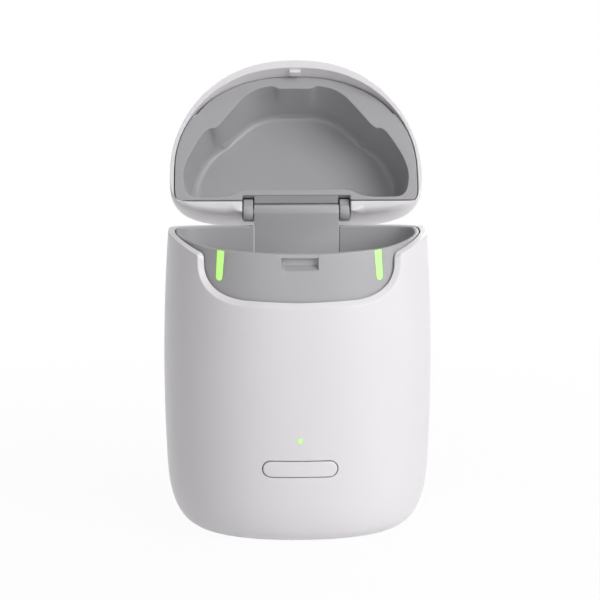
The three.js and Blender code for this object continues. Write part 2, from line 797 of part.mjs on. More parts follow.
function hingeScrew(side) {
  return screwDown(footHead, footShank, [side * footScrewX, footScrewY], footLow + footWall + gap,
    gap * 2 + footWall + deckWall / 2);
}

const earWidth = 2.9;
const earInner = towerHalfWidth + gap;
const earOuter = earInner + earWidth;

function hingePin() {
  return bar(pinRadius, 'x', [-earOuter, earOuter], [hingeY, hingeZ]);
}

// The lid is drawn closed. It is turned to its open place at the end.
const skirtLow = crestHeight - frontDrop - overrun;
const lidBackDrop = 0.95; // the lid's edge falls less at the back, to clear the body when it turns
const lidBackInner = halfDepth - rimDrawIn - lidBackWall;
const domeShares = [0.3, 0.55, 0.76, 0.9, 0.975];
const crownShares = [[0.6, 1.25], [0, 2.1]]; // depth below the top, and how far it is drawn in
const lidTop = crestHeight + gap + lidHeight + lidCrown;
const linerLow = crestHeight + gap; // the liner's rim
const linerWall = 1.2;
const linerPower = 7; // its back corners are squarer than the lid's
const notchHalf = earOuter + gap;
const notchClear = 0.9; // between the knuckles and the notch above them
const notchTop = hingeZ + knuckleRadius + notchClear;

function lidRing(inset, power = backPower) {
  return outline(rimDrawIn + inset, rimDrawIn * rimLeanShare + inset, rimDrawIn + inset, power);
}

// The levels above the crest, of the lid or of the hollow at a depth inside it.
function domeLevels(depth) {
  const dome = domeShares.map((share) => ({
    z: crestHeight + share * (lidHeight + gap - depth),
    ring: lidRing(lidDrawIn * (1 - Math.sqrt(1 - share * share)) + depth,
      backPower + (lidTopPower - backPower) * share),
  }));
  const crown = crownShares.map(([fall, drawIn]) => ({
    z: lidTop - depth - fall * lidCrown,
    ring: lidRing(lidDrawIn * drawIn + depth, lidTopPower),
  }));
  return [...dome, ...crown];
}

function hingeNotch(front) {
  return block([-notchHalf, notchHalf], [front, halfDepth + overrun], [crestHeight - frontDrop, notchTop]);
}

function inFrontOf(y) {
  return block([-halfWidth, halfWidth], [-halfDepth, y], [0, lidTop]);
}

// The catch under the front edge snaps into the dock's pocket.
const catchHalf = 1.7;
const catchMargin = 0.5; // above and below it in the pocket
const catchLow = pocketLow + catchMargin;
const catchTop = pocketTop - catchMargin;
const catchProud = 1.1;
const catchRoot = 0.8;
const apronFace = rimDrawIn * rimLeanShare + lidWall - halfDepth;

function lidShell() {
  const skirtHeights = [skirtLow, (skirtLow + crestHeight) / 2, crestHeight];
  const skirt = skirtHeights.map((z) => ({ z, ring: bodyRing(z) }));
  const body = loft([...skirt, ...domeLevels(0)]);
  const straight = (z, power) => ({ z, ring: lidRing(lidWall, power) });
  const hollow = loft([straight(skirtLow - overrun), straight(crestHeight), ...domeLevels(lidWall)]);
  const seat = loft([
    straight(skirtLow - overrun, linerPower),
    straight(linerLow + linerWall + gap, linerPower),
  ]);
  const catchHole = block([-catchHalf - gap, catchHalf + gap],
    [apronFace - catchRoot - gap, apronFace + overrun], [catchLow - gap, catchTop + gap]);
  return cut(body, join(hollow, seat).intersect(inFrontOf(lidBackInner)),
    beyondJoint(gap, lidBackDrop, -1), hingeNotch(lidBackInner - overrun), catchHole);
}

function lidCatch() {
  return block([-catchHalf, catchHalf], [apronFace - catchRoot, apronFace + catchProud],
    [catchLow, catchTop]);
}

// The grey liner of the lid: a flat rim and a scalloped recess with sloping walls.
const linerInset = rimDrawIn + lidWall + gap;
const linerFront = rimDrawIn * rimLeanShare + lidWall + gap;
const linerBack = lidBackInner - gap;
const linerNotch = 5.6; // from the hinge to the liner's edge in front of it
const linerNotchBack = hingeY - linerNotch;
const linerStep = 0.9; // its sides are set in by this step towards the front
const linerStepShare = -0.37; // of the half depth
const linerStepY = linerStepShare * halfDepth;
const recessDepth = 14.8;
const recessWall = 0.8;
// Right half of the recess at the rim, in shares of the half width and the half depth.
const recessShares = [
  [0, -0.7], [0.117, -0.7], [0.18, -0.732], [0.29, -0.695], [0.378, -0.608], [0.452, -0.48],
  [0.523, -0.348], [0.584, -0.232], [0.622, -0.188], [0.66, -0.182], [0.706, -0.12], [0.769, 0.038],
  [0.822, 0.205], [0.85, 0.35], [0.857, 0.45], [0.85, 0.55], [0.828, 0.63], [0.785, 0.69],
  [0.72, 0.712], [0.46, 0.712], [0.42, 0.642],
];
const recessMiddleShare = -0.3; // its walls lean towards this place, front to back
// Height, width and depth of the recess at its rim, lower down and at its floor.
const recessLevelShares = [[0, 1, 1], [0.74, 0.957, 0.945], [1, 0.885, 0.83]];

function recessRing(grow, [, wide, deep]) {
  const right = recessShares.map(([x, y]) => [x * halfWidth, y * halfDepth]);
  const left = right.slice(1).reverse().map(([x, y]) => [-x, y]);
  const ring = [...right, ...left];
  const middle = recessMiddleShare * halfDepth;
  return ring.map(([x, y], index) => {
    const before = ring[(index + ring.length - 1) % ring.length];
    const after = ring[(index + 1) % ring.length];
    const run = Math.hypot(after[0] - before[0], after[1] - before[1]);
    const outX = x + grow * (after[1] - before[1]) / run;
    const outY = y - grow * (after[0] - before[0]) / run;
    return [outX * wide, middle + (outY - middle) * deep];
  });
}

function lidLiner() {
  const roof = linerLow + recessDepth;
  const high = linerLow + linerWall;
  const low = linerLow - dockStep;
  const rimOf = (step, reach) => loft([low - reach, high + reach].map((z) => ({
    z,
    ring: outline(linerInset + step, linerFront, linerInset, linerPower),
  })));
  const beyondStep = cut(inFrontOf(linerStepY), rimOf(linerStep, overrun));
  const besideRim = beyondStep.intersect(block([-halfWidth, halfWidth], [-halfDepth, halfDepth],
    [low - overrun / 2, high + overrun / 2]));
  const rim = cut(rimOf(0, 0).intersect(inFrontOf(linerBack)), besideRim, hingeNotch(linerNotchBack),
    beyondDock(lipStep + gap, -1));
  const [atRim, lower, atFloor] = recessLevelShares;
  const bowl = (grow, from) => loft([
    { z: from, ring: recessRing(grow, atRim) },
    { z: linerLow + skin * 2, ring: recessRing(grow, atRim) },
    { z: linerLow + recessDepth * lower[0], ring: recessRing(grow, lower) },
    { z: roof, ring: recessRing(grow, atFloor) },
  ]);
  const cap = loft([
    { z: roof - skin, ring: recessRing(recessWall, atFloor) },
    { z: roof + recessWall, ring: recessRing(0, atFloor) },
  ]);
  return cut(join(rim, bowl(recessWall, linerLow + skin), cap), bowl(0, low - overrun));
}

// An ear on each side of the tower, with a lug between the lid's back wall and the liner.
const earClearance = 0.1;
const lugWall = 1.2;
const lugHeight = 7.6;
const lugBack = lidBackInner - gap;

function hingeEar(side) {
  const across = side < 0 ? [-earOuter, -earInner] : [earInner, earOuter];
  const radius = knuckleRadius - earClearance;
  const low = hingeZ - radius / 2;
  const knuckle = bar(radius, 'x', across, [hingeY, hingeZ], wideSteps);
  const lug = block(across, [lugBack - lugWall, lugBack], [low, hingeZ + lugHeight]);
  const neck = block(across, [lugBack - lugWall, hingeY], [low, hingeZ + radius / 2]);
  const hole = bar(pinRadius + pinClearance, 'x', [across[0] - overrun, across[1] + overrun],
    [hingeY, hingeZ]);
  return cut(join(knuckle, lug, neck), hole);
}

// Materials.
function finish(color, roughness, metalness = 0) {
  return new THREE.MeshStandardMaterial({ color, roughness, metalness });
}

const white = finish(0xe9e7ea, 0.32);
const grey = finish(0xa3a2a5, 0.42);
const darkGrey = finish(0x8d8c90, 0.45);
const black = finish(0x202022, 0.5);
const rubber = finish(0x4c4c50, 0.85);
const steel = finish(0xb9bbc0, 0.3, 1);
const copper = finish(0xb87345, 0.35, 1);
const boardGreen = finish(0x1f5a3c, 0.5);
const glow = finish(0xb6ff88, 0.3);
const clear = finish(0xd8dad8, 0.2);
const foil = finish(0xc9c9cc, 0.4, 0.6);

const charger = new THREE.Group();
const lid = new THREE.Group();

function add(group, name, manifold, material) {
  const mesh = new THREE.Mesh(geometryOf(manifold), material);
  mesh.name = name;
  group.add(mesh);
}

add(charger, 'outer_shell', outerShell(), white);
add(charger, 'bottom_cover', bottomCover(), white);
add(charger, 'foot_pad', footPad(), rubber);
screwPlaces.forEach((place, index) => add(charger, `base_screw_${index + 1}`, baseScrew(place), steel));
add(charger, 'chassis', chassis(), darkGrey);
add(charger, 'main_board', mainBoard(), boardGreen);
add(charger, 'usb_socket', usbSocket(), steel);
add(charger, 'battery_cell', batteryCell(), foil);
add(charger, 'front_board', frontBoard(), boardGreen);
add(charger, 'button_switch', buttonSwitch(), black);
add(charger, 'status_lamp', statusLamp(), clear);
add(charger, 'status_light', statusLight(), glow);
add(charger, 'front_button', frontButton(), white);
add(charger, 'switch_plunger', switchPlunger(), black);
add(charger, 'dock_tub', dockTub(), grey);
add(charger, 'charging_block', chargingBlock(), darkGrey);
add(charger, 'hinge_tower', hingeTower(), grey);
add(charger, 'hinge_pin', hingePin(), steel);
for (const [word, side] of [['left', -1], ['right', 1]]) {
  add(charger, `light_bar_${word}`, lightBar(side), glow);
  add(charger, `lamp_strip_${word}`, lampStrip(side), boardGreen);
  add(charger, `slot_pad_${word}`, slotPad(side), black);
  add(charger, `charging_coil_${word}`, chargingCoil(side), copper);
  add(charger, `coil_shield_${word}`, coilShield(side), black);
  add(charger, `dock_screw_${word}`, dockScrew(side), steel);
  add(charger, `hinge_screw_${word}`, hingeScrew(side), steel);
  add(lid, `hinge_ear_${word}`, hingeEar(side), grey);
}
add(lid, 'lid_shell', lidShell(), white);
add(lid, 'lid_liner', lidLiner(), grey);
add(lid, 'lid_catch', lidCatch(), white);

// Turn the lid about the pin, from closed to open.
const turned = new THREE.Group();
turned.position.set(0, hingeY, hingeZ);
turned.rotation.x = -openAngle * Math.PI / 180;
lid.position.set(0, -hingeY, -hingeZ);
turned.add(lid);
charger.add(turned);

export default charger;
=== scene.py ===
"""A tabletop charging case with its lid open: the finished surfaces."""
import json
import math
from functools import partial, reduce

import bmesh
import bpy
import numpy as np
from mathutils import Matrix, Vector
from mathutils.geometry import delaunay_2d_cdt


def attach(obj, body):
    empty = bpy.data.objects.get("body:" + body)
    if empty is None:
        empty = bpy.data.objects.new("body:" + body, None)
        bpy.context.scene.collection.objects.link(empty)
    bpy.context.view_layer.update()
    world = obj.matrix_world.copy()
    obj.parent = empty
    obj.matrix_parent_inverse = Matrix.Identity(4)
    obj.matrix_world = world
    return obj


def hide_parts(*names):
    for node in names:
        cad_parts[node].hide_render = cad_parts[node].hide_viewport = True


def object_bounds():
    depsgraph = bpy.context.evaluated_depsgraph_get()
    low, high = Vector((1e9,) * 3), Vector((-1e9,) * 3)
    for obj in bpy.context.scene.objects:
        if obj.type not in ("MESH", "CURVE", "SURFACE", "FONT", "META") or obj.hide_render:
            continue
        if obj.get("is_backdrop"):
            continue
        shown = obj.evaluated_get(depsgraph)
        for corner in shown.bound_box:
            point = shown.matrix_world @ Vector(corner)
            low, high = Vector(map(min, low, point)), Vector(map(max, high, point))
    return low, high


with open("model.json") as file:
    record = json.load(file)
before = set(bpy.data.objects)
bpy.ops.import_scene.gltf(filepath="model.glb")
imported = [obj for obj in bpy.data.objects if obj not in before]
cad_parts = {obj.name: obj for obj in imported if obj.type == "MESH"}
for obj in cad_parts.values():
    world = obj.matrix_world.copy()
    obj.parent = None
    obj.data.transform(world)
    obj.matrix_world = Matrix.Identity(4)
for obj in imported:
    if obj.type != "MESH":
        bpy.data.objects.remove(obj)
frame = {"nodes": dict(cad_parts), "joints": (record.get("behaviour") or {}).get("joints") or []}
cad_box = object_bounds()
nodes = frame["nodes"]
joints = {joint["name"]: joint for joint in frame["joints"]}

# The case's sizes are in millimetres, and its meshes are scaled to metres when they are made. The studio's
# sizes are in metres.
MM = 0.001

# The body.
HALF_WIDTH = 39.4
HALF_DEPTH = 25.8
WIDE_Y = 11.4
FRONT_POWER = 2.28
BACK_POWER = 4.6
BELLY = 45.0
CREST = 86.6
CREST_Y = 4.0
FRONT_DROP = 8.8
BACK_DROP = 1.25
RIM_DRAW_IN = 1.6
RIM_LEAN = 1.5
BOTTOM_ROUND = 19.0
BOTTOM_DRAW_IN = 9.6
BOTTOM_POWER = 2.7
SHELL_WALL = 2.0
SHELL_BASE = 0.5
FLOOR_TOP = 2.4
COVER_LAND = 2.2
GAP = 0.3
SHELL_EDGE = 0.3
SHELL_INNER_EDGE = 0.22
SHELL_FOOT_EDGE = 0.5

# The scoop in the front wall, and the flat chamfer round it. The shares place the bend of its corners.
SCOOP_HALF = 26.9
SCOOP_BOTTOM = 71.3
SCOOP_BEND = 80.5
SCOOP_FLOOR = 15.96
SCOOP_RISE = 0.45
CHAMFER = 1.5
CHAMFER_SPREAD = 1.012
CHAMFER_DEPTH = 1.65
SCOOP_SHARES = ((0.845, 0.115), (0.9925, 0.43))

# The dock, with the pocket for the lid's catch and the slots for the light bars.
DOCK_FRONT = 85.2
DOCK_BOTTOM = 66.4
DOCK_DEPTH = 2.4
LIP_WALL = 1.4
LIP_STEP = 0.1
LIP_EDGE = 0.28
LIP_INNER_EDGE = 0.45
LIP_SHARES = ((0.22, 0.06), (0.4, 1.0))
LIP_RISE_FROM = -15.6
LIP_DIP = 0.65
LIP_DIP_REACH = 5.8
SLOPE = 7.0
FRONT_THICKEN = 2.8
SIDE_THICKEN = 1.2
DECK_TOP = 72.4
DECK_BOTTOM = 70.0
DECK_FILLET = 0.7
NOTCH_HALF = 12.9
NOTCH_LOW = 73.3
WELL_NOTCH_HALF = 12.68
POCKET_HALF = 5.2
POCKET_TOP = 83.6
POCKET_RAMP = 81.4
POCKET_LOW = 80.0
POCKET_DEPTH = 1.95
POCKET_RELIEF = 0.12
POCKET_RAMP_POWER = 1.5
POCKET_SIDE = 0.06
BAR_HALF = 1.05
BAR_TAPER = 0.13
BAR_X = 22.75
BAR_LEAN = 0.068
BAR_TOP = 85.1
BAR_LOW = 76.5
BAR_CORNER = 0.2
BAR_CORNER_CUT = 0.06
BAR_SUNK = 0.02
BAR_EDGE = 0.1
BAR_THICK = 0.9
BAR_GAP = 0.08
BAR_SLOT_EDGE = 0.06
BAR_SLOT_BEVEL = 0.08
BAR_SLOT_DEPTH = 1.1

# The button, the status light and the port, with the gap round each and the soft edge of its hole.
BUTTON_HALF = 10.55
BUTTON_RADIUS = 2.26
BUTTON_Z = 23.65
BUTTON_PROUD = 0.18
BUTTON_EDGE = 0.3
BUTTON_BACK = 2.6
BUTTON_GAP = 0.28
BUTTON_HOLE_EDGE = 0.16
LIGHT_RADIUS = 0.86
LIGHT_Z = 32.0
LIGHT_PROUD = 0.06
LIGHT_EDGE = 0.12
LIGHT_BACK = 1.6
LIGHT_GAP = 0.08
LIGHT_HOLE_EDGE = 0.05
PORT_HALF = 4.5
PORT_RADIUS = 1.6
PORT_Z = 11.1
PORT_HOLE_EDGE = 0.3

# The lid and its liner, drawn closed. The lid's edge grows at the back, beside the hinge.
LID_HEIGHT = 19.1
LID_TOP = 106.6
LID_DRAW_IN = 7.3
LID_SKIN = 0.02
LID_TOP_POWER = 3.3
LID_WALL = 1.2
LID_BACK_DROP = 0.95
LID_BACK_INNER = 20.6
LID_EDGE = 0.3
LID_INNER_EDGE = 0.25
LID_EDGE_LAND = 0.1
LID_BACK_EDGE = 3.0
LID_BACK_EASE = 7
LID_NOTCH_EASE = 3
LID_EASE_GAP = 1
LID_NOTCH_HALF = 16.1
LID_NOTCH_TOP = 92.7
CROWN_FROM = 0.975
CROWN_INSET = 16.0
SEAT_TOP = 88.4
LINER_HIGH = 88.1
LINER_POWER = 7
LINER_SIDE = 3.1
LINER_FRONT = 3.9
LINER_BACK = 20.3
LINER_NOTCH_BACK = 18.6
LINER_EDGE = 0.2
LINER_STEP = 0.9
LINER_STEP_Y = -9.55
LINER_LIFT = 0.4
LINER_LOW = 86.9
FLANGE_HALF = 12.5
FLANGE_WALL = 0.9
FLANGE_RISE = 1.7
FLANGE_DROP = 0.3
FLANGE_LAP = 0.1
FLANGE_EDGE = 0.3
KNUCKLE = 2.6

# The recess in the liner. Its outline's right half is in shares of the body's half width and half depth.
# Where its wall turns in to the floor, and on the floor itself, it is that share as wide and as deep.
RECESS_DEPTH = 14.8
RECESS_LIP = 0.22
RECESS_EASE = 24
RECESS_WALL = 0.8
RECESS_MIDDLE = -7.74
RECESS_SHARES = [
    (0, -0.7), (0.117, -0.7), (0.18, -0.732), (0.29, -0.695), (0.378, -0.608), (0.452, -0.48),
    (0.523, -0.348), (0.584, -0.232), (0.622, -0.188), (0.66, -0.182), (0.706, -0.12), (0.769, 0.038),
    (0.822, 0.205), (0.85, 0.35), (0.857, 0.45), (0.851, 0.56), (0.834, 0.66), (0.8, 0.722),
    (0.74, 0.745), (0.58, 0.745), (0.5, 0.725), (0.43, 0.672), (0.36, 0.65), (0.2, 0.65), (0.08, 0.65),
]
RECESS_LIP_SHARE = 0.3
RECESS_WALL_SHARES = (0.15, 0.3, 0.45, 0.6, 0.68)
RECESS_TURN_SHARE = 0.74
RECESS_TURN = (0.957, 0.945)
RECESS_FLOOR = (0.845, 0.79)
BUMP_FADE = 1.6
BUMP_FADE_POWER = 1.6

# The charging block.
BLOCK_HALF = 20.5
BLOCK_FRONT = -13.96
BLOCK_BACK = 9.0
BLOCK_LOW = 72.7
BLOCK_TOP = 78.9
BLOCK_RADIUS = 6.0
BLOCK_EDGE = 1.3
BLOCK_FOOT_EDGE = 0.2
SLOT_X = 10.9
SLOT_Y = -2.5
SLOT_HALF_X = 7.1
SLOT_HALF_Y = 4.6
SLOT_RADIUS = 3.4
SLOT_LEAN = 0.14
SLOT_FLOOR = 73.7
SLOT_LIP = 0.8
SLOT_FOOT = 0.4

_, HINGE_Y, HINGE_Z = (value / MM for value in joints["lid_hinge"]["pos_m"])
OPEN_ANGLE = math.radians(joints["lid_hinge"]["range_deg"][1])

# A rim's lines are rounded into each other over these lengths. Its points are counted from the right side
# round the back: a side, the hinge notch's three lines, then the lines beyond it.
NOTCH_TRIMS = [0.6] * 4
SCOOP_TRIMS = [0.7] * 2
SCOOP_INNER_TRIMS = [1.7] * 2
NOTCH_COUNTS = [60, 12, 24, 12]
SHELL_COUNTS = NOTCH_COUNTS + [90, 110, 40]
DOCK_COUNTS = NOTCH_COUNTS + [130, 2, 30, 2, 130]
LID_COUNTS = [60, 12, 30, 12, 160]
LINER_TRIMS = [0.35, 0.35, 0.6, 0.5, 0.5]
LINER_COUNTS = [90, 3, 90, 24, 5, 20]


# Lines.
def distances(line):
    """How far along a line each of its points lies."""
    return np.concatenate([[0], np.cumsum(np.linalg.norm(np.diff(line, axis=0), axis=1))])


def resample(line, low, high, count):
    """Points at even steps along a line, without its first and last stretch."""
    run = distances(line)
    at = np.linspace(low, run[-1] - high, count)
    return np.stack([np.interp(at, run, column) for column in line.T], -1)


def bend(start, corner, end, count=4):
    """Points, or whole rings, that turn a corner from one place to another."""
    steps = np.linspace(0, 1, count + 1)
    return [(1 - t) ** 2 * start + 2 * (1 - t) * t * corner + t * t * end for t in steps]


def sweep(start, first, second, end, count):
    """Points on a curve from one place to another, drawn by two places beside it."""
    t = np.linspace(0, 1, count)[:, None]
    return (1 - t) ** 3 * start + 3 * (1 - t) ** 2 * t * first + 3 * (1 - t) * t * t * second + t ** 3 * end


def at_height(x, y, z):
    """Points from two coordinates, with a third that they share, such as their height."""
    return np.stack([x, y, np.full(len(x), z)], -1)


def towards(start, end, reach):
    """Points moved towards others by a distance."""
    run = end - start
    length = np.maximum(np.linalg.norm(run, axis=-1, keepdims=True), 1e-9)
    return start + run * np.minimum(reach / length, 1)


def chain(lines, trims, counts):
    """One line through several that meet, with a rounded corner wherever the trim isn't zero."""
    parts = []
    for index, line in enumerate(lines):
        low = trims[index - 1] if index else 0
        high = trims[index] if index < len(trims) else 0
        part = resample(line, low, high, counts[index])
        if parts and low:
            corner = (lines[index - 1][-1] + line[0]) / 2
            parts.append(np.array(bend(parts[-1][-1], corner, part[0], 6)[1:-1]))
        parts.append(part[1:] if parts and not low else part)
    return np.concatenate(parts)


def grown(line, reach, closed=True):
    """A flat line moved square to itself, outwards if it runs anticlockwise."""
    if closed:
        run = np.roll(line, -1, 0) - np.roll(line, 1, 0)
    else:
        run = np.concatenate([line[1:], line[-1:]]) - np.concatenate([line[:1], line[:-1]])
    run = run / np.linalg.norm(run, axis=1, keepdims=True)
    return line + reach * np.stack([run[:, 1], -run[:, 0]], -1)


def rounded_box(half_x, half_y, radius, centre, spacing=0.5):
    """A closed line: a rectangle with round corners."""
    points = []
    for corner in range(4):
        sign_x = 1 if corner in (0, 3) else -1
        sign_y = 1 if corner < 2 else -1
        for turn in np.linspace(corner, corner + 1, 13) * math.pi / 2:
            points.append((centre[0] + sign_x * (half_x - radius) + radius * math.cos(turn),
                           centre[1] + sign_y * (half_y - radius) + radius * math.sin(turn)))
    ring = np.array(points + points[:1])
    return resample(ring, 0, 0, int(distances(ring)[-1] / spacing) + 1)[:-1]


def smooth_ring(points, samples=7):
    """A closed curve through all its points."""
    ring = np.array(points, float)
    before, after, beyond = np.roll(ring, 1, 0), np.roll(ring, -1, 0), np.roll(ring, -2, 0)
    spans = []
    for t in np.linspace(0, 1, samples, endpoint=False):
        spans.append(0.5 * (2 * ring + (after - before) * t
                            + (2 * before - 5 * ring + 4 * after - beyond) * t ** 2
                            + (3 * ring - before - 3 * after + beyond) * t ** 3))
    return np.stack(spans, 1).reshape(-1, 2)


# The walls. A wall's points are given by s, how far round it they lie, and v, how far up along it.
def outline(turn, side, front, back, power):
    """The body's outline seen from above, drawn in at its sides, its front and its back."""
    across = np.cos(turn)
    along = np.sin(turn)
    ahead = along < 0
    roundness = np.where(ahead, FRONT_POWER, power)
    reach = np.where(ahead, HALF_DEPTH + WIDE_Y, HALF_DEPTH - WIDE_Y)
    x = HALF_WIDTH * np.sign(across) * np.abs(across) ** (2 / roundness)
    y = WIDE_Y + reach * np.sign(along) * np.abs(along) ** (2 / roundness)
    x = x * (HALF_WIDTH - side) / HALF_WIDTH
    y = (front - back) / 2 + y * (HALF_DEPTH - (front + back) / 2) / HALF_DEPTH
    return x, y


TURNS = np.linspace(0, 2 * np.pi, 40001)
ROUND = distances(np.stack(outline(TURNS, 0, 0, 0, BACK_POWER), -1))
PERIMETER = ROUND[-1]
AROUND = np.linspace(0, PERIMETER, 241)


def edge_inset(z):
    """How far the rounded bottom is drawn in at a height."""
    share = np.clip((BOTTOM_ROUND - z) / BOTTOM_ROUND, 0, 1)
    return BOTTOM_DRAW_IN * (1 - (1 - share ** BOTTOM_POWER) ** (1 / BOTTOM_POWER))


EDGE_Z = np.linspace(SHELL_BASE, BOTTOM_ROUND, 400)
EDGE_V = distances(np.stack([edge_inset(EDGE_Z), EDGE_Z], -1))
EDGE_V += BOTTOM_ROUND - EDGE_V[-1]


class Wall:
    """A wall that goes all the way round. Its insets at a height and a depth shape it there."""

    def __init__(self, insets, flat_back=None):
        self.insets = insets
        self.flat_back = flat_back

    def place(self, s, v, depth=0.0):
        z, side, front, back, power = self.insets(v, depth)
        x, y = outline(np.interp(s, ROUND, TURNS), side, front, back, power)
        if self.flat_back is not None:
            y = np.minimum(y, self.flat_back)
        return np.stack(np.broadcast_arrays(x, y, z), -1)

    def along(self, x, v, depth=0.0, ahead=True):
        """How far round the wall lies the point with this x."""
        _, side, _, _, power = self.insets(v, depth)
        roundness = FRONT_POWER if ahead else power
        across = np.sign(x) * np.clip(np.abs(x) / (HALF_WIDTH - side), 0, 1) ** (roundness / 2)
        turn = np.arccos(across)
        return np.interp(2 * np.pi - turn if ahead else turn, TURNS, ROUND)

    def trace(self, shape, grow, depth, ahead=True):
        """Where a shape drawn square to the front, or to the back, lies on the wall."""
        line = grown(shape, grow)
        v = self.level(line[:, 1])
        return self.along(line[:, 0], v, depth, ahead), v, depth

    def level(self, z):
        """The v of a height."""
        v = np.linspace(SHELL_BASE - 9, LID_TOP + 9, 4000)
        return np.interp(z, self.place(np.zeros_like(v), v)[:, 2], v)

    def meet(self, x, height, depth=0.0, ahead=True):
        """Where the wall, at this x, meets a height that follows y."""
        v = CREST
        for _ in range(8):
            s = float(self.along(x, v, depth, ahead))
            v = float(height(self.place(s, v, depth)[1]))
        return s, v

    def follow(self, first, last, height, depth=0.0, count=160):
        """The line where the wall meets a height that follows y."""
        s = np.linspace(first, last, count)
        v = np.full(count, CREST)
        for _ in range(8):
            v = height(self.place(s, v, depth)[:, 1])
        return np.stack([s, v, np.full(count, depth)], -1)


def body_insets(v, depth):
    z = np.where(v > BOTTOM_ROUND, v, np.interp(v, EDGE_V, EDGE_Z))
    lean = RIM_DRAW_IN * ((z - BELLY) / (CREST - BELLY)) ** 2
    edge = edge_inset(z) + depth
    return z, lean + edge, lean * np.where(z > BELLY, RIM_LEAN, 1) + edge, lean + edge, BACK_POWER


def well_insets(v, depth):
    share = np.clip((DOCK_FRONT - v) / SLOPE, 0, 1)
    lean = RIM_DRAW_IN * ((np.minimum(v, DOCK_FRONT) - BELLY) / (CREST - BELLY)) ** 2
    inner = DOCK_DEPTH + LIP_WALL + depth
    side = lean + inner + SIDE_THICKEN * share
    return v, side, lean * RIM_LEAN + inner + FRONT_THICKEN * share, RIM_DRAW_IN + inner, BACK_POWER


def dome_profile():
    """Inset, height and share of the dome, from the crest to the flat of the crown."""
    steep = np.linspace(0, math.asin(CROWN_FROM), 60)
    inset = LID_DRAW_IN * (1 - np.cos(steep))
    height = CREST + LID_HEIGHT * np.sin(steep)
    start = np.array([inset[-1], height[-1]])
    slope = LID_HEIGHT * math.cos(steep[-1]) / (LID_DRAW_IN * math.sin(steep[-1]))
    corner = np.array([start[0] + (LID_TOP - start[1]) / slope, LID_TOP])
    crown = np.array(bend(start, corner, np.array([CROWN_INSET, LID_TOP]), 30)[1:])
    points = np.concatenate([np.stack([inset, height], -1), crown])
    share = np.concatenate([np.sin(steep), np.linspace(CROWN_FROM, 1, 31)[1:]])
    return points[:, 0], points[:, 1], share, CREST + distances(points)


DOME_INSET, DOME_Z, DOME_SHARE, DOME_V = dome_profile()


def lid_insets(v, depth):
    depth = depth + LID_SKIN
    share = np.interp(v, DOME_V, DOME_SHARE)
    inset = np.interp(v, DOME_V, DOME_INSET) + depth
    lean = np.where(v > CREST, RIM_DRAW_IN, RIM_DRAW_IN * ((v - BELLY) / (CREST - BELLY)) ** 2)
    z = np.where(v > CREST, np.interp(v, DOME_V, DOME_Z), v) - depth * share
    power = BACK_POWER + (LID_TOP_POWER - BACK_POWER) * share
    return z, lean + inset, lean * RIM_LEAN + inset, lean + inset, power


def lid_inner_insets(v, depth):
    z, side, front, back, power = lid_insets(np.maximum(v, CREST), LID_WALL + depth)
    squarer = np.clip(SEAT_TOP + 1 - v, 0, 1)
    return np.where(v > CREST, z, v), side, front, back, power + (LINER_POWER - power) * squarer


BODY = Wall(body_insets)
WELL = Wall(well_insets)
LID = Wall(lid_insets)
LID_INNER = Wall(lid_inner_insets, LID_BACK_INNER)


def joint_height(y, lift=0.0, back_drop=BACK_DROP):
    """The joint line between body and lid."""
    ahead = y < CREST_Y
    reach = np.where(ahead, HALF_DEPTH + CREST_Y, HALF_DEPTH - CREST_Y)
    fall = np.where(ahead, FRONT_DROP, back_drop)
    return CREST + lift - fall * ((y - CREST_Y) / reach) ** 2


def lid_height(y):
    return joint_height(y, GAP, LID_BACK_DROP)


def lip_curve():
    """The rise of the dock's top edge seen from the side, from the scoop to the crest."""
    low = np.array([LIP_RISE_FROM, DOCK_FRONT])
    high = np.array([CREST_Y, CREST - LIP_STEP])
    first, second = (low + (high - low) * np.array(share) for share in LIP_SHARES)
    return sweep(low, first, second, high, 80)


LIP = lip_curve()


def lip_height(y, lift=0.0):
    """The top edge of the dock: a little lower in its middle, then rising to the crest."""
    dip = LIP_DIP * np.clip((LIP_RISE_FROM - y) / LIP_DIP_REACH, 0, 1) ** 2
    rise = np.interp(y, LIP[:, 0], LIP[:, 1]) - dip
    return np.where(y < CREST_Y, rise, joint_height(y, -LIP_STEP)) + lift


def scoop_line(grow):
    """The scoop's outline seen from the front, from its left side to its right."""
    floor_end = np.array([SCOOP_FLOOR, SCOOP_BOTTOM + SCOOP_RISE])
    first, second = (np.array([SCOOP_HALF * wide, SCOOP_BOTTOM + (SCOOP_BEND - SCOOP_BOTTOM) * high])
                     for wide, high in SCOOP_SHARES)
    corner = sweep(floor_end, first, second, np.array([SCOOP_HALF, SCOOP_BEND]), 60)
    right = np.concatenate([[[0.0, SCOOP_BOTTOM]], corner, [[SCOOP_HALF, CREST + 1]]])
    left = right[:0:-1] * [-1, 1]
    return grown(resample(np.concatenate([left, right]), 0, 0, 400), grow, closed=False)


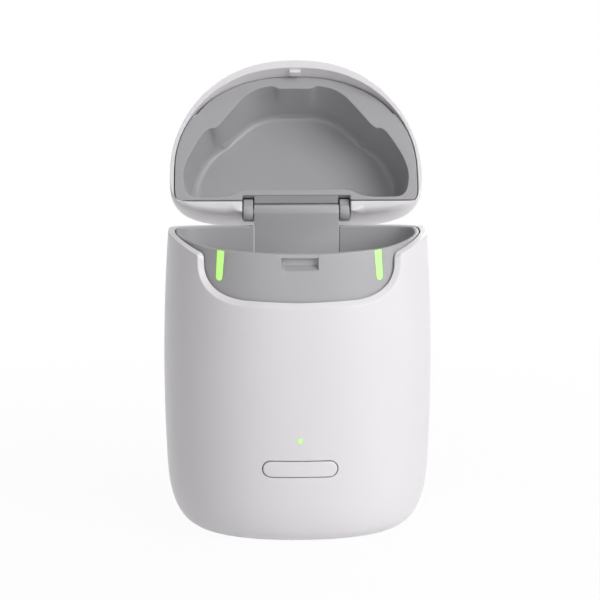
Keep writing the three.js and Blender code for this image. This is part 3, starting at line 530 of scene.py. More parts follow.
def rim(wall, height, depth, notch_half, notch_v, scoop=None, scoop_depth=0.0, stops=()):
    """The lines that make up a wall's rim, from its right side round the back to the front."""
    right, right_v = wall.meet(notch_half, height, depth, False)
    left, left_v = wall.meet(-notch_half, height, depth, False)

    def on_back(x, v):
        x, v = np.broadcast_arrays(x, v)
        return at_height(wall.along(x, v, depth, False), v, depth)

    def upright(x, first, last):
        return on_back(x, np.linspace(first, last, 30))

    across = on_back(np.linspace(notch_half, -notch_half, 40), notch_v)
    lines = [wall.follow(0, right, height, depth), upright(notch_half, right_v, notch_v), across,
             upright(-notch_half, notch_v, left_v)]
    if scoop is None:
        ends = [left] + [float(wall.along(x, DOCK_FRONT, depth)) for x in stops] + [PERIMETER]
        return lines + [wall.follow(a, b, height, depth) for a, b in zip(ends, ends[1:])]
    half = scoop[-1, 0]
    _, top = wall.meet(half, height, scoop_depth)
    scoop = np.concatenate([[[-half, top]], scoop[scoop[:, 1] < top], [[half, top]]])
    s = wall.along(scoop[:, 0], scoop[:, 1], scoop_depth)
    mouth = at_height(s, scoop[:, 1], scoop_depth)
    first, _ = wall.meet(-half, height, depth)
    last, _ = wall.meet(half, height, depth)
    before, beyond = wall.follow(left, first, height, depth), wall.follow(last, PERIMETER, height, depth)
    return [*lines, before, mouth, beyond]


def below(rail, reach):
    """A rim's line moved into the wall by a distance, with its ends kept on the seam."""
    moved = rail.copy()
    moved[:, :2] = grown(rail[:, :2], reach, closed=False)
    moved[[0, -1], 0] = rail[[0, -1], 0]
    moved[[0, -1], 1] = moved[[0, -1], 1].mean()
    return moved


# Pieces.
BATCH = 1000
CLEAR_SHARE = 0.6
MERGE_REACH = 0.004
SPECK = 0.001


def inside(points, loop):
    """Which points lie inside a closed line, by counting the sides that a level ray crosses."""
    ax, ay = loop.T
    bx, by = np.roll(loop, -1, 0).T
    rise = np.where(by == ay, 1e-12, by - ay)
    found = np.zeros(len(points), bool)
    for start in range(0, len(points), BATCH):
        x, y = points[start:start + BATCH, :1], points[start:start + BATCH, 1:]
        spans = (ay > y) != (by > y)
        found[start:start + BATCH] = np.sum(spans & (x < ax + (y - ay) * (bx - ax) / rise), axis=1) % 2 == 1
    return found


def far_from(points, others, reach):
    """Which points are further than this from all the others."""
    keep = np.ones(len(points), bool)
    for start in range(0, len(points), BATCH):
        gaps = points[start:start + BATCH, None] - others[None]
        keep[start:start + BATCH] = (gaps ** 2).sum(-1).min(1) > reach ** 2
    return keep


class Piece:
    """The points and faces of one piece, in millimetres."""

    def __init__(self):
        self.points = []
        self.faces = []
        self.count = 0

    def add(self, points, faces):
        self.points.append(np.asarray(points, float))
        self.faces += [tuple(int(i) + self.count for i in face) for face in faces]
        self.count += len(points)

    def band(self, rings, closed=True):
        """Faces between each ring and the next."""
        size = len(rings[0])
        steps = size if closed else size - 1
        faces = [(ring * size + i, ring * size + (i + 1) % size,
                  (ring + 1) * size + (i + 1) % size, (ring + 1) * size + i)
                 for ring in range(len(rings) - 1) for i in range(steps)]
        self.add(np.concatenate(rings), faces)

    def fill(self, loops, step, place, creases=()):
        """A skin inside the first closed line and outside the others, put in place by a function."""
        fixed = np.concatenate([*loops, *creases])
        edges = []
        start = 0
        for line, closed in [(loop, True) for loop in loops] + [(crease, False) for crease in creases]:
            count = len(line)
            edges += [(start + i, start + (i + 1) % count) for i in range(count if closed else count - 1)]
            start += count
        low, high = loops[0].min(0), loops[0].max(0)
        rise = step * math.sqrt(3) / 2
        grid = np.array([(x + step / 2 * (row % 2), y)
                         for row, y in enumerate(np.arange(low[1] + rise / 2, high[1], rise))
                         for x in np.arange(low[0], high[0], step)]).reshape(-1, 2)
        keep = inside(grid, loops[0]) & far_from(grid, fixed, step * CLEAR_SHARE)
        for hole in loops[1:]:
            keep &= ~inside(grid, hole)
        flat = np.concatenate([fixed, grid[keep]])
        made = delaunay_2d_cdt([Vector(point) for point in flat], edges, [], 0, 1e-6)
        corners = np.array([vertex[:] for vertex in made[0]])
        faces = np.array(made[2])
        centres = corners[faces].mean(1)
        shown = inside(centres, loops[0])
        for hole in loops[1:]:
            shown &= ~inside(centres, hole)
        self.add(place(corners[:, 0], corners[:, 1]), faces[shown])

    def cap(self, ring, step=3.0):
        """A level skin inside a ring."""
        self.fill([ring[:, :2]], step, partial(at_height, z=ring[0, 2]))

    def inlay(self, wall, shape, proud, edge, back, step):
        """A solid set in a wall: a skin that follows it, with a round edge and straight sides."""
        front, corner, side, rear = (wall.trace(shape, grow, depth) for grow, depth in (
            (-edge, -proud), (0, -proud), (0, edge - proud), (0, back)))
        self.band([*bend(wall.place(*front), wall.place(*corner), wall.place(*side)), wall.place(*rear)])
        for s, v, depth in (front, rear):
            self.fill([np.stack([s, v], -1)], step, partial(wall.place, depth=depth))

    def make(self, name, material, body, replaces, slot, opened=False, sharp=38):
        """The piece as an object on a body of the frame. What is drawn closed is turned open first."""
        points = np.concatenate(self.points)
        if opened:
            y, z = points[:, 1] - HINGE_Y, points[:, 2] - HINGE_Z
            turn = -OPEN_ANGLE
            points = np.stack([points[:, 0], HINGE_Y + y * math.cos(turn) - z * math.sin(turn),
                               HINGE_Z + y * math.sin(turn) + z * math.cos(turn)], -1)
        mesh = bpy.data.meshes.new(name)
        mesh.from_pydata((points * MM).tolist(), [], self.faces)
        solid = bmesh.new()
        solid.from_mesh(mesh)
        bmesh.ops.remove_doubles(solid, verts=solid.verts, dist=MERGE_REACH * MM)
        bmesh.ops.dissolve_degenerate(solid, edges=solid.edges, dist=SPECK * MM)
        bmesh.ops.recalc_face_normals(solid, faces=solid.faces)
        solid.to_mesh(mesh)
        solid.free()
        mesh.polygons.foreach_set("use_smooth", [True] * len(mesh.polygons))
        mesh.set_sharp_from_angle(angle=math.radians(sharp))
        mesh.materials.append(material)
        piece = bpy.data.objects.new(name, mesh)
        bpy.context.scene.collection.objects.link(piece)
        even = piece.modifiers.new("even_shading", "WEIGHTED_NORMAL")
        even.keep_sharp = True
        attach(piece, body)
        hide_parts(*replaces)


# Materials.
class Socket:
    """An output of a node. Arithmetic on it adds Math nodes."""

    def __init__(self, tree, link=None):
        self.tree = tree
        self.link = link

    def make(self, kind, inputs, settings=None, output=0):
        """One output of a new node, with its settings made first and then its sockets."""
        node = self.tree.nodes.new(kind)
        for name, value in (settings or {}).items():
            setattr(node, name, value)
        for name, value in inputs.items():
            if isinstance(value, Socket):
                self.tree.links.new(value.link, node.inputs[name])
            else:
                node.inputs[name].default_value = value
        return Socket(self.tree, node.outputs[output])

    def math(self, operation, first, second):
        return self.make("ShaderNodeMath", {0: first, 1: second}, {"operation": operation})

    def __add__(self, other):
        return self.math("ADD", self, other)

    __radd__ = __add__

    def __mul__(self, other):
        return self.math("MULTIPLY", self, other)

    __rmul__ = __mul__

    def __sub__(self, other):
        return self.math("SUBTRACT", self, other)

    def __rsub__(self, other):
        return self.math("SUBTRACT", other, self)

    def noise(self, place, size, detail=2.0):
        """Noise whose spots are about this many millimetres wide."""
        spots = {"Vector": place, "Scale": 1 / (size * MM), "Detail": detail}
        return self.make("ShaderNodeTexNoise", spots)

    def mix(self, factor, first, second):
        """A colour between two."""
        return self.make("ShaderNodeMix", {0: factor, 6: first, 7: second}, {"data_type": "RGBA"}, output=2)

    def highest(self, *values):
        """The highest of some values, point by point."""
        return reduce(partial(self.math, "MAXIMUM"), values)

    def bump(self, height, relief):
        """A surface that rises by this many millimetres where the height is 1."""
        return self.make("ShaderNodeBump", {"Height": height, "Strength": 1.0, "Distance": relief * MM})

    def to(self, shader, name):
        self.tree.links.new(self.link, shader.inputs[name])


def new_finish(name, **uniform):
    """A new material, with its shader's own sockets set where a value is the same all over."""
    material = bpy.data.materials.new(name)
    material.use_nodes = True
    shader = material.node_tree.nodes["Principled BSDF"]
    for key, value in uniform.items():
        shader.inputs[key.replace("_", " ")].default_value = value
    maker = Socket(material.node_tree)
    place = maker.make("ShaderNodeTexCoord", {}, output="Object")
    return material, shader, maker, place


def shade(color, factor=1.0):
    """A colour made darker or lighter, with the fourth value that a socket takes."""
    return (*(channel * factor for channel in color), 1.0)


def moulded(name, color, rough, grain=0.35, relief=0.006, cloud=14.0, spread=0.03, **uniform):
    """Moulded plastic: a faint cloud in the colour, an uneven gloss and a fine grain."""
    cloud_gloss, grain_gloss = 0.06, 0.04
    material, shader, maker, place = new_finish(name, **uniform)
    clouds = maker.noise(place, cloud, detail=3.0)
    maker.mix(clouds, shade(color, 1 - spread), shade(color, 1 + spread)).to(shader, "Base Color")
    fine = maker.noise(place, grain)
    glossiest = rough - (cloud_gloss + grain_gloss) / 2
    (glossiest + cloud_gloss * clouds + grain_gloss * fine).to(shader, "Roughness")
    maker.bump(fine, relief).to(shader, "Normal")
    return material


def brushed(name, color, rough, line_length=3.0, fineness=40, relief=0.004):
    """Metal with fine lines along one axis."""
    line_gloss = 0.16
    material, shader, maker, place = new_finish(name, Metallic=1.0)
    across = maker.make("ShaderNodeMapping", {"Vector": place, "Scale": (1, fineness, fineness)})
    lines = maker.noise(across, line_length, detail=3.0)
    maker.mix(lines, shade(color, 0.85), shade(color, 1.1)).to(shader, "Base Color")
    (rough - line_gloss / 2 + line_gloss * lines).to(shader, "Roughness")
    maker.bump(lines, relief).to(shader, "Normal")
    return material


def wound(name, color, rough=0.3, turns=300.0, relief=0.05):
    """Enamelled wire, wound in rings about an upright axis."""
    turn_gloss = 0.2
    material, shader, maker, place = new_finish(name, Metallic=1.0)
    waves = maker.make("ShaderNodeTexWave", {"Vector": place, "Scale": turns, "Distortion": 0.4},
                       {"wave_type": "RINGS", "rings_direction": "Z"}, output="Fac")
    maker.mix(waves, shade(color, 0.5), shade(color, 1.1)).to(shader, "Base Color")
    (rough + turn_gloss * waves).to(shader, "Roughness")
    maker.bump(waves, relief).to(shader, "Normal")
    return material


def printed_board(name, color, rough=0.32, cells=320.0, track=0.12, contrast=7.0):
    """Lacquered board with paler tracks under the lacquer."""
    material, shader, maker, place = new_finish(name, Coat_Weight=0.4)
    grid = maker.make("ShaderNodeTexVoronoi", {"Vector": place, "Scale": cells}, {"distance": "MANHATTAN"})
    tracks = maker.math("PINGPONG", grid, track)
    maker.mix(tracks * contrast, shade(color), shade(color, 2.2)).to(shader, "Base Color")
    (rough + tracks).to(shader, "Roughness")
    return material


def lit(name, color, glow, cloud=5.0):
    """Lit translucent plastic with a slightly uneven glow."""
    material, shader, maker, place = new_finish(name, Roughness=0.3, Emission_Strength=1.0)
    clouds = maker.noise(place, cloud, detail=1.0)
    maker.mix(clouds, shade(color, 0.94), shade(color, 1.06)).to(shader, "Base Color")
    maker.mix(clouds, shade(glow, 0.95), shade(glow, 1.05)).to(shader, "Emission Color")
    return material


WHITE = moulded("white_shell", (0.785, 0.762, 0.79), 0.3, grain=0.25, relief=0.002, spread=0.012)
LID_WHITE = moulded("white_lid", (0.79, 0.77, 0.795), 0.3, grain=0.25, relief=0.002, spread=0.012)
BUTTON_WHITE = moulded("white_button", (0.79, 0.767, 0.795), 0.34, grain=0.2, relief=0.002, spread=0.012)
DOCK_GREY = moulded("grey_dock", (0.425, 0.42, 0.43), 0.42, grain=0.3, relief=0.006)
LINER_GREY = moulded("grey_liner", (0.385, 0.38, 0.39), 0.42, grain=0.3, relief=0.006)
BLOCK_GREY = moulded("grey_block", (0.27, 0.267, 0.275), 0.45, grain=0.3, relief=0.008)
INNER_GREY = moulded("grey_frame", (0.3, 0.3, 0.31), 0.5, grain=0.4, relief=0.01)
DARK = moulded("dark_plastic", (0.03, 0.03, 0.032), 0.45, grain=0.3, relief=0.01)
RUBBER = moulded("pad_rubber", (0.08, 0.08, 0.085), 0.8, grain=0.5, relief=0.03)
FOIL = moulded("cell_foil", (0.6, 0.6, 0.62), 0.35, grain=1.5, relief=0.05, Metallic=0.8)
CLEAR = moulded("clear_resin", (0.8, 0.82, 0.8), 0.2, Transmission_Weight=0.6)
STEEL = brushed("screw_steel", (0.6, 0.61, 0.63), 0.32)
COPPER = wound("wound_copper", (0.72, 0.38, 0.2))
BOARD = printed_board("board_green", (0.02, 0.13, 0.06))
GLOW_BAR = lit("glow_bar", (0.25, 0.6, 0.36), (0.39, 0.62, 0.04))
GLOW_DOT = lit("glow_dot", (0.25, 0.6, 0.36), (0.39, 0.45, 0.13))


# The camera stands where the photograph was taken from.
CAMERA_TARGET = Vector((0.52, 0.0, 67.46)) * MM
CAMERA_AZIMUTH = math.radians(-1.35)
CAMERA_ELEVATION = math.radians(11.5)
CAMERA_DISTANCE = 0.65
CAMERA_LENS = 134.4


def place_camera():
    data = bpy.data.cameras.new("camera")
    data.sensor_width = 36.0
    data.lens = CAMERA_LENS
    data.clip_start = 0.01
    camera = bpy.data.objects.new("camera", data)
    away = Vector((math.sin(CAMERA_AZIMUTH) * math.cos(CAMERA_ELEVATION),
                   -math.cos(CAMERA_AZIMUTH) * math.cos(CAMERA_ELEVATION), math.sin(CAMERA_ELEVATION)))
    camera.location = CAMERA_TARGET + away * CAMERA_DISTANCE
    camera.rotation_mode = "QUATERNION"
    camera.rotation_quaternion = (-away).to_track_quat("-Z", "Y")
    bpy.context.scene.collection.objects.link(camera)
    bpy.context.scene.camera = camera


place_camera()

# The outer shell.
BUTTON_SHAPE = rounded_box(BUTTON_HALF, BUTTON_RADIUS, BUTTON_RADIUS, (0, BUTTON_Z), 0.35)
LIGHT_SHAPE = rounded_box(LIGHT_RADIUS, LIGHT_RADIUS, LIGHT_RADIUS * 0.999, (0, LIGHT_Z), 0.15)
PORT_SHAPE = rounded_box(PORT_HALF, PORT_RADIUS, PORT_RADIUS * 0.98, (0, PORT_Z), 0.35)
HOLES = [
    (BUTTON_SHAPE, BUTTON_GAP, BUTTON_HOLE_EDGE, True),
    (LIGHT_SHAPE, LIGHT_GAP, LIGHT_HOLE_EDGE, True),
    (PORT_SHAPE, GAP, PORT_HOLE_EDGE, False),
]


def shell_openings(piece, flat_outer, flat_inner):
    """The holes for the button, the status light and the port, with soft edges."""
    for shape, gap, edge, ahead in HOLES:
        outer, corner, side, inner = (BODY.trace(shape, grow, depth, ahead) for grow, depth in (
            (gap + edge, 0.0), (gap, 0.0), (gap, edge), (gap, SHELL_WALL)))
        rings = bend(BODY.place(*outer), BODY.place(*corner), BODY.place(*side))
        piece.band([*rings, BODY.place(*inner)])
        flat_outer.append(np.stack(outer[:2], -1))
        flat_inner.append(np.stack(inner[:2], -1))


def skirt_loop(rail, low):
    """A rim's flat line, closed along the two sides of the seam and the lower edge."""
    right = np.linspace(rail[-1, 1], low, 40)[1:]
    under = np.linspace(PERIMETER, 0, len(AROUND))[1:]
    left = right[-2::-1]
    return np.concatenate([
        rail[:, :2],
        np.stack([np.full(len(right), PERIMETER), right], -1),
        np.stack([under, np.full(len(under), low)], -1),
        np.stack([np.zeros(len(left)), left], -1),
    ])


def shell_rim(depth, scoop, scoop_depth, scoop_trims):
    """The line of the shell's rim, round the hinge notch and down through the scoop."""
    lines = rim(BODY, joint_height, depth, NOTCH_HALF, NOTCH_LOW, scoop, scoop_depth)
    return chain(lines, NOTCH_TRIMS + scoop_trims, SHELL_COUNTS)


def outer_shell():
    piece = Piece()
    outer_rail = shell_rim(0.0, scoop_line(CHAMFER) * [CHAMFER_SPREAD, 1], 0.0, SCOOP_TRIMS)
    inner_rail = shell_rim(SHELL_WALL, scoop_line(0), CHAMFER_DEPTH, SCOOP_INNER_TRIMS)
    back_rail = below(shell_rim(SHELL_WALL, scoop_line(0), SHELL_WALL, SCOOP_INNER_TRIMS), SHELL_INNER_EDGE)
    top = below(outer_rail, SHELL_EDGE)
    start_ring, outer, inner, end_ring = (
        BODY.place(*rail.T) for rail in (top, outer_rail, inner_rail, back_rail))
    rings = bend(start_ring, outer, towards(outer, inner, SHELL_EDGE))
    inner_start, inner_end = (towards(inner, ring, SHELL_INNER_EDGE) for ring in (outer, end_ring))
    rings += bend(inner_start, inner, inner_end)
    piece.band([*rings, end_ring], closed=False)
    low = float(EDGE_V[0])
    start_low = low + SHELL_FOOT_EDGE
    floor_v = float(BODY.level(FLOOR_TOP))
    base = BODY.place(AROUND, low)
    cover = BODY.place(AROUND, low, COVER_LAND)
    cover_top = cover * [1, 1, 0] + [0, 0, FLOOR_TOP]
    foot = bend(BODY.place(AROUND, start_low), base, towards(base, cover, SHELL_FOOT_EDGE))
    piece.band([*foot, cover, cover_top, BODY.place(AROUND, floor_v, SHELL_WALL)], closed=False)
    outer_loops = [skirt_loop(top, start_low)]
    inner_loops = [skirt_loop(back_rail, floor_v)]
    shell_openings(piece, outer_loops, inner_loops)
    piece.fill(outer_loops, step=1.7, place=BODY.place)
    piece.fill(inner_loops, step=5.0, place=partial(BODY.place, depth=SHELL_WALL))
    piece.make("case_shell", WHITE, "base", ["outer_shell"], "shell_white")


def button_and_light():
    button = Piece()
    button.inlay(BODY, BUTTON_SHAPE, BUTTON_PROUD, BUTTON_EDGE, BUTTON_BACK, step=0.8)
    button.make("press_button", BUTTON_WHITE, "button", ["front_button"], "shell_white")
    light = Piece()
    light.inlay(BODY, LIGHT_SHAPE, LIGHT_PROUD, LIGHT_EDGE, LIGHT_BACK, step=0.3)
    light.make("status_lens", GLOW_DOT, "base", ["status_light"], "light_green")


outer_shell()
button_and_light()


# The dock.
def relief(x, z):
    """How deep the pocket for the lid's catch is, with the strip above it."""
    rise = np.clip((z - POCKET_LOW) / (POCKET_RAMP - POCKET_LOW), 0, 1)
    ramp = POCKET_DEPTH * rise ** POCKET_RAMP_POWER
    above = np.clip((z - POCKET_TOP) / POCKET_SIDE, 0, 1)
    side = np.clip((POCKET_HALF + POCKET_SIDE - np.abs(x)) / (2 * POCKET_SIDE), 0, 1)
    return (ramp + (POCKET_RELIEF - ramp) * above) * side


def dock_place(s, v):
    """The dock's front and sides, with the pocket pressed into them."""
    flat = BODY.place(s, v, DOCK_DEPTH)
    return BODY.place(s, v, DOCK_DEPTH + relief(flat[..., 0], flat[..., 2]))


def bar_shape(side):
    """The outline of a light bar seen from the front: round at its foot, square at its top."""
    foot = [(BAR_HALF * math.sin(turn), BAR_HALF - BAR_HALF * math.cos(turn))
            for turn in np.linspace(-math.pi / 2, math.pi / 2, 15)]
    height = BAR_TOP - BAR_LOW
    right_top = [(BAR_HALF - inward, height - down) for inward, down in (
        (0, BAR_CORNER), (BAR_CORNER_CUT, BAR_CORNER_CUT), (BAR_CORNER, 0))]
    left_top = [(-x, z) for x, z in right_top[::-1]]
    ring = resample(np.array(foot + right_top + left_top + foot[:1]), 0, 0, 80)[:-1]
    ring[:, 0] *= 1 - BAR_TAPER * (1 - ring[:, 1] / height)
    lean = -side * BAR_LEAN
    turned = ring @ np.array([[math.cos(lean), -math.sin(lean)], [math.sin(lean), math.cos(lean)]])
    return turned + [side * BAR_X, BAR_LOW]


def bar_slot(piece, side):
    """The slot that a light bar sits in. Its outline on the dock's front is given back."""
    steps = ((BAR_GAP + BAR_SLOT_EDGE, 0.0), (BAR_GAP, BAR_SLOT_BEVEL), (BAR_GAP, BAR_SLOT_DEPTH))
    flats = []
    for grow, depth in steps:
        x, z = grown(bar_shape(side), grow).T
        flats.append((BODY.along(x, z, DOCK_DEPTH + depth), z, DOCK_DEPTH + depth))
    piece.band([BODY.place(*flat) for flat in flats])
    s, z, depth = flats[-1]
    piece.fill([np.stack([s, z], -1)], step=1.0, place=partial(BODY.place, depth=depth))
    return np.stack(flats[0][:2], -1)


def pocket_creases(top, stops):
    """The lines that keep the edges of the catch's pocket crisp."""
    x = np.linspace(stops[1], stops[2], 30)
    creases = [np.stack([BODY.along(x, z, DOCK_DEPTH), np.full(len(x), z)], -1)
               for z in (POCKET_LOW, POCKET_RAMP, POCKET_TOP, POCKET_TOP + POCKET_SIDE)]
    z = np.append(np.linspace(POCKET_LOW, POCKET_TOP, 16), POCKET_TOP + POCKET_SIDE)
    for stop in stops:
        at = np.argmin(np.abs(top[:, 0] - BODY.along(stop, DOCK_FRONT, DOCK_DEPTH)))
        line = np.stack([BODY.along(np.full(len(z), stop), z, DOCK_DEPTH), z], -1)
        creases.append(np.concatenate([line, top[at:at + 1, :2]]))
    return creases


def dock():
    piece = Piece()
    stops = [end + step for end in (-POCKET_HALF, POCKET_HALF) for step in (-POCKET_SIDE, POCKET_SIDE)]
    outer_rail, inner_rail = (
        chain(rim(wall, lip_height, depth, WELL_NOTCH_HALF, NOTCH_LOW, stops=stops), NOTCH_TRIMS + [0] * 4,
              DOCK_COUNTS) for wall, depth in ((BODY, DOCK_DEPTH), (WELL, 0.0)))
    top, inner_top = below(outer_rail, LIP_EDGE), below(inner_rail, LIP_INNER_EDGE)
    outer, start_ring = dock_place(*outer_rail.T[:2]), dock_place(*top.T[:2])
    inner, end_ring = WELL.place(*inner_rail.T), WELL.place(*inner_top.T)
    rings = bend(start_ring, outer, towards(outer, inner, LIP_EDGE))
    rings += bend(towards(inner, outer, LIP_INNER_EDGE), inner, end_ring)
    piece.band(rings, closed=False)
    slots = [bar_slot(piece, side) for side in (-1, 1)]
    piece.fill([skirt_loop(top, DOCK_BOTTOM), *slots], step=1.6, place=dock_place,
               creases=pocket_creases(top, stops))
    inner_depth = DOCK_DEPTH + LIP_WALL
    foot = [BODY.place(AROUND, z, depth) for z, depth in (
        (DOCK_BOTTOM, DOCK_DEPTH), (DOCK_BOTTOM, inner_depth), (DECK_BOTTOM, inner_depth))]
    piece.band(foot, closed=False)
    piece.cap(foot[-1][:-1], step=5.0)
    low = DECK_TOP + DECK_FILLET
    floor = WELL.place(AROUND, DECK_TOP, DECK_FILLET)
    piece.band(bend(WELL.place(AROUND, low), WELL.place(AROUND, DECK_TOP), floor), closed=False)
    piece.fill([skirt_loop(inner_top, low)], step=1.6, place=WELL.place)
    piece.cap(floor[:-1])
    piece.make("dock_well", DOCK_GREY, "base", ["dock_tub"], "dock_grey")


def light_bars():
    for side, word in ((-1, "left"), (1, "right")):
        light = Piece()
        light.inlay(BODY, bar_shape(side), proud=BAR_SUNK - DOCK_DEPTH, edge=BAR_EDGE,
                    back=DOCK_DEPTH + BAR_THICK, step=0.7)
        light.make(f"lit_bar_{word}", GLOW_BAR, "base", [f"light_bar_{word}"], "light_green")


dock()
light_bars()


# The charging block with its two slots.
def slot_rings(side):
    """A slot's rings from its soft mouth to its floor. It leans outwards as it rises."""
    mouth = rounded_box(SLOT_HALF_X, SLOT_HALF_Y, SLOT_RADIUS, (0, SLOT_Y))

    def ring(grow, z):
        x, y = grown(mouth, grow).T
        middle = side * (SLOT_X + (z - SLOT_FLOOR) * math.tan(SLOT_LEAN))
        return at_height(middle + x / math.cos(SLOT_LEAN), y, z)

    rings = bend(ring(SLOT_LIP, BLOCK_TOP), ring(0, BLOCK_TOP), ring(0, BLOCK_TOP - SLOT_LIP), 5)
    foot = bend(ring(0, SLOT_FLOOR + SLOT_FOOT), ring(0, SLOT_FLOOR), ring(-SLOT_FOOT, SLOT_FLOOR), 3)
    return rings + foot


def charging_block():
    piece = Piece()
    middle = (0, (BLOCK_FRONT + BLOCK_BACK) / 2)
    base = rounded_box(BLOCK_HALF, (BLOCK_BACK - BLOCK_FRONT) / 2, BLOCK_RADIUS, middle, 0.7)
    bottom, low, high, corner, top = (at_height(*grown(base, grow).T, z) for grow, z in (
        (-BLOCK_FOOT_EDGE, BLOCK_LOW), (0, BLOCK_LOW + BLOCK_FOOT_EDGE), (0, BLOCK_TOP - BLOCK_EDGE),
        (0, BLOCK_TOP), (-BLOCK_EDGE, BLOCK_TOP)))
    piece.band([bottom, low, *bend(high, corner, top, 6)])
    piece.cap(bottom, step=4.0)
    loops = [top[:, :2]]
    for side in (-1, 1):
        rings = slot_rings(side)
        piece.band(rings)
        piece.cap(rings[-1])
        loops.append(rings[0][:, :2])
    piece.fill(loops, step=2.0, place=partial(at_height, z=BLOCK_TOP))
    piece.make("slot_block", BLOCK_GREY, "base", ["charging_block"], "block_grey")


charging_block()


# The lid, drawn closed and turned open when it is made.
def lid_shell():
    piece = Piece()
    outer_rail, inner_rail = (
        chain(rim(wall, lid_height, 0.0, LID_NOTCH_HALF, float(wall.level(LID_NOTCH_TOP))),
              NOTCH_TRIMS, LID_COUNTS) for wall in (LID, LID_INNER))
    outer, inner = LID.place(*outer_rail.T), LID_INNER.place(*inner_rail.T)
    behind = np.clip((outer[:, 1:2] - WIDE_Y - LID_EASE_GAP) / LID_BACK_EASE, 0, 1)
    beside = np.clip((np.abs(outer[:, :1]) - LID_NOTCH_HALF - LID_EASE_GAP) / LID_NOTCH_EASE, 0, 1)
    edge = LID_EDGE + LID_BACK_EDGE * behind * beside
    low, inner_low = below(outer_rail, -edge), below(inner_rail, -LID_INNER_EDGE)
    start_ring, end_ring = LID.place(*low.T), LID_INNER.place(*inner_low.T)
    land = np.linalg.norm(inner - outer, axis=1, keepdims=True) - LID_INNER_EDGE - LID_EDGE_LAND
    rings = bend(start_ring, outer, towards(outer, inner, np.minimum(edge, land)), 8)
    rings += bend(towards(inner, outer, LID_INNER_EDGE), inner, end_ring)
    piece.band(rings, closed=False)
    high = float(DOME_V[-1])
    piece.fill([skirt_loop(low, high)], step=1.7, place=LID.place)
    piece.fill([skirt_loop(inner_low, high)], step=2.4, place=LID_INNER.place)
    piece.cap(LID.place(AROUND[:-1], high))
    piece.cap(LID_INNER.place(AROUND[:-1], high), step=5.0)
    piece.make("lid_dome", LID_WHITE, "lid", ["lid_shell"], "shell_white", opened=True)


def liner_outline():
    """The liner's outline seen from below, stepped in at its sides and cut back at the hinge."""
    def stretch(turn, side):
        return np.stack(outline(turn, side, LINER_FRONT, LINER_SIDE, LINER_POWER), -1)

    ahead = np.linspace(1.5 * math.pi, 2 * math.pi, 400)
    fore, mid = stretch(ahead, LINER_SIDE + LINER_STEP), stretch(ahead, LINER_SIDE)
    rear = stretch(np.linspace(0, 1, 600) ** 3 * math.pi / 2, LINER_SIDE)
    fore = fore[fore[:, 1] < LINER_STEP_Y]
    side = np.concatenate([mid[mid[:, 1] > LINER_STEP_Y], rear[rear[:, 1] < LINER_BACK]])
    corner, notch = (side[-1, 0], LINER_BACK), (LID_NOTCH_HALF, LINER_BACK)
    notch_end, middle = (LID_NOTCH_HALF, LINER_NOTCH_BACK), (0, LINER_NOTCH_BACK)
    jog, back, in_notch, behind = (np.array(ends) for ends in (
        (fore[-1], side[0]), (corner, notch), (notch, notch_end), (notch_end, middle)))
    right = chain([fore, jog, side, back, in_notch, behind], LINER_TRIMS, LINER_COUNTS)
    left = right[-2:0:-1] * [-1, 1]
    return np.concatenate([right, left])


def recess_ring(grow, wide, deep, ease=0.0):
    """The recess's outline, scaled about its middle, with its bumps eased away by a share."""
    right = [(x * HALF_WIDTH, y * HALF_DEPTH) for x, y in RECESS_SHARES]
    left = [(-x, y) for x, y in right[:0:-1]]
    line = grown(smooth_ring(right + left), grow)
    weights = np.hanning(2 * RECESS_EASE + 1)
    wrapped = np.concatenate([line[-RECESS_EASE:], line, line[:RECESS_EASE]])
    eased = np.stack([np.convolve(column, weights / weights.sum(), "valid") for column in wrapped.T], -1)
    line = line + (eased - line) * ease
    return np.stack([line[:, 0] * wide, RECESS_MIDDLE + (line[:, 1] - RECESS_MIDDLE) * deep], -1)


def recess_wall(share):
    """A ring of the recess's wall, which leans in and loses its bumps as it goes up."""
    wide, deep = (1 + (value - 1) * share / RECESS_TURN_SHARE for value in RECESS_TURN)
    ease = min(BUMP_FADE * share ** BUMP_FADE_POWER, 1)
    return at_height(*recess_ring(0, wide, deep, ease).T, LINER_LOW + RECESS_DEPTH * share)


def liner_underside(x, y):
    return np.stack([x, y, lip_height(y, LINER_LIFT)], -1)


def liner_top(piece, base):
    """The side that the lid hides: a flat flange round the outside of the recess."""
    roof = LINER_LOW + RECESS_DEPTH + RECESS_WALL
    turn = LINER_LOW + RECESS_DEPTH * RECESS_TURN_SHARE
    bowl = [at_height(*recess_ring(RECESS_WALL, *shares).T, z) for shares, z in (
        ((1, 1), LINER_HIGH), (RECESS_TURN, turn), (RECESS_FLOOR, roof))]
    piece.band(bowl)
    piece.cap(bowl[-1], step=5.0)
    piece.fill([base, bowl[0][:, :2]], step=5.0, place=partial(at_height, z=LINER_HIGH))


def lid_liner():
    piece = Piece()
    base = liner_outline()
    start_line = grown(base, -LINER_EDGE)
    corner = liner_underside(*base.T)
    edge = bend(liner_underside(*start_line.T), corner, corner + [0, 0, LINER_EDGE], 3)
    piece.band([*edge, at_height(*base.T, LINER_HIGH)])
    liner_top(piece, base)
    mouth = recess_ring(RECESS_LIP, 1, 1)
    hole = liner_underside(*recess_ring(0, 1, 1).T)
    foot_corner, floor = (at_height(*recess_ring(0, *shares, 1.0).T, LINER_LOW + RECESS_DEPTH)
                          for shares in (RECESS_TURN, RECESS_FLOOR))
    lip_end = towards(hole, recess_wall(RECESS_LIP_SHARE), RECESS_LIP)
    rings = bend(liner_underside(*mouth.T), hole, lip_end)
    rings += [recess_wall(share) for share in RECESS_WALL_SHARES]
    rings += bend(recess_wall(RECESS_TURN_SHARE), foot_corner, floor, 10)
    piece.band(rings)
    piece.fill([start_line, mouth], step=1.8, place=liner_underside)
    piece.cap(floor, step=2.5)
    hinge_flange(piece)
    piece.make("lid_tray", LINER_GREY, "lid", ["lid_liner"], "dock_grey", opened=True)


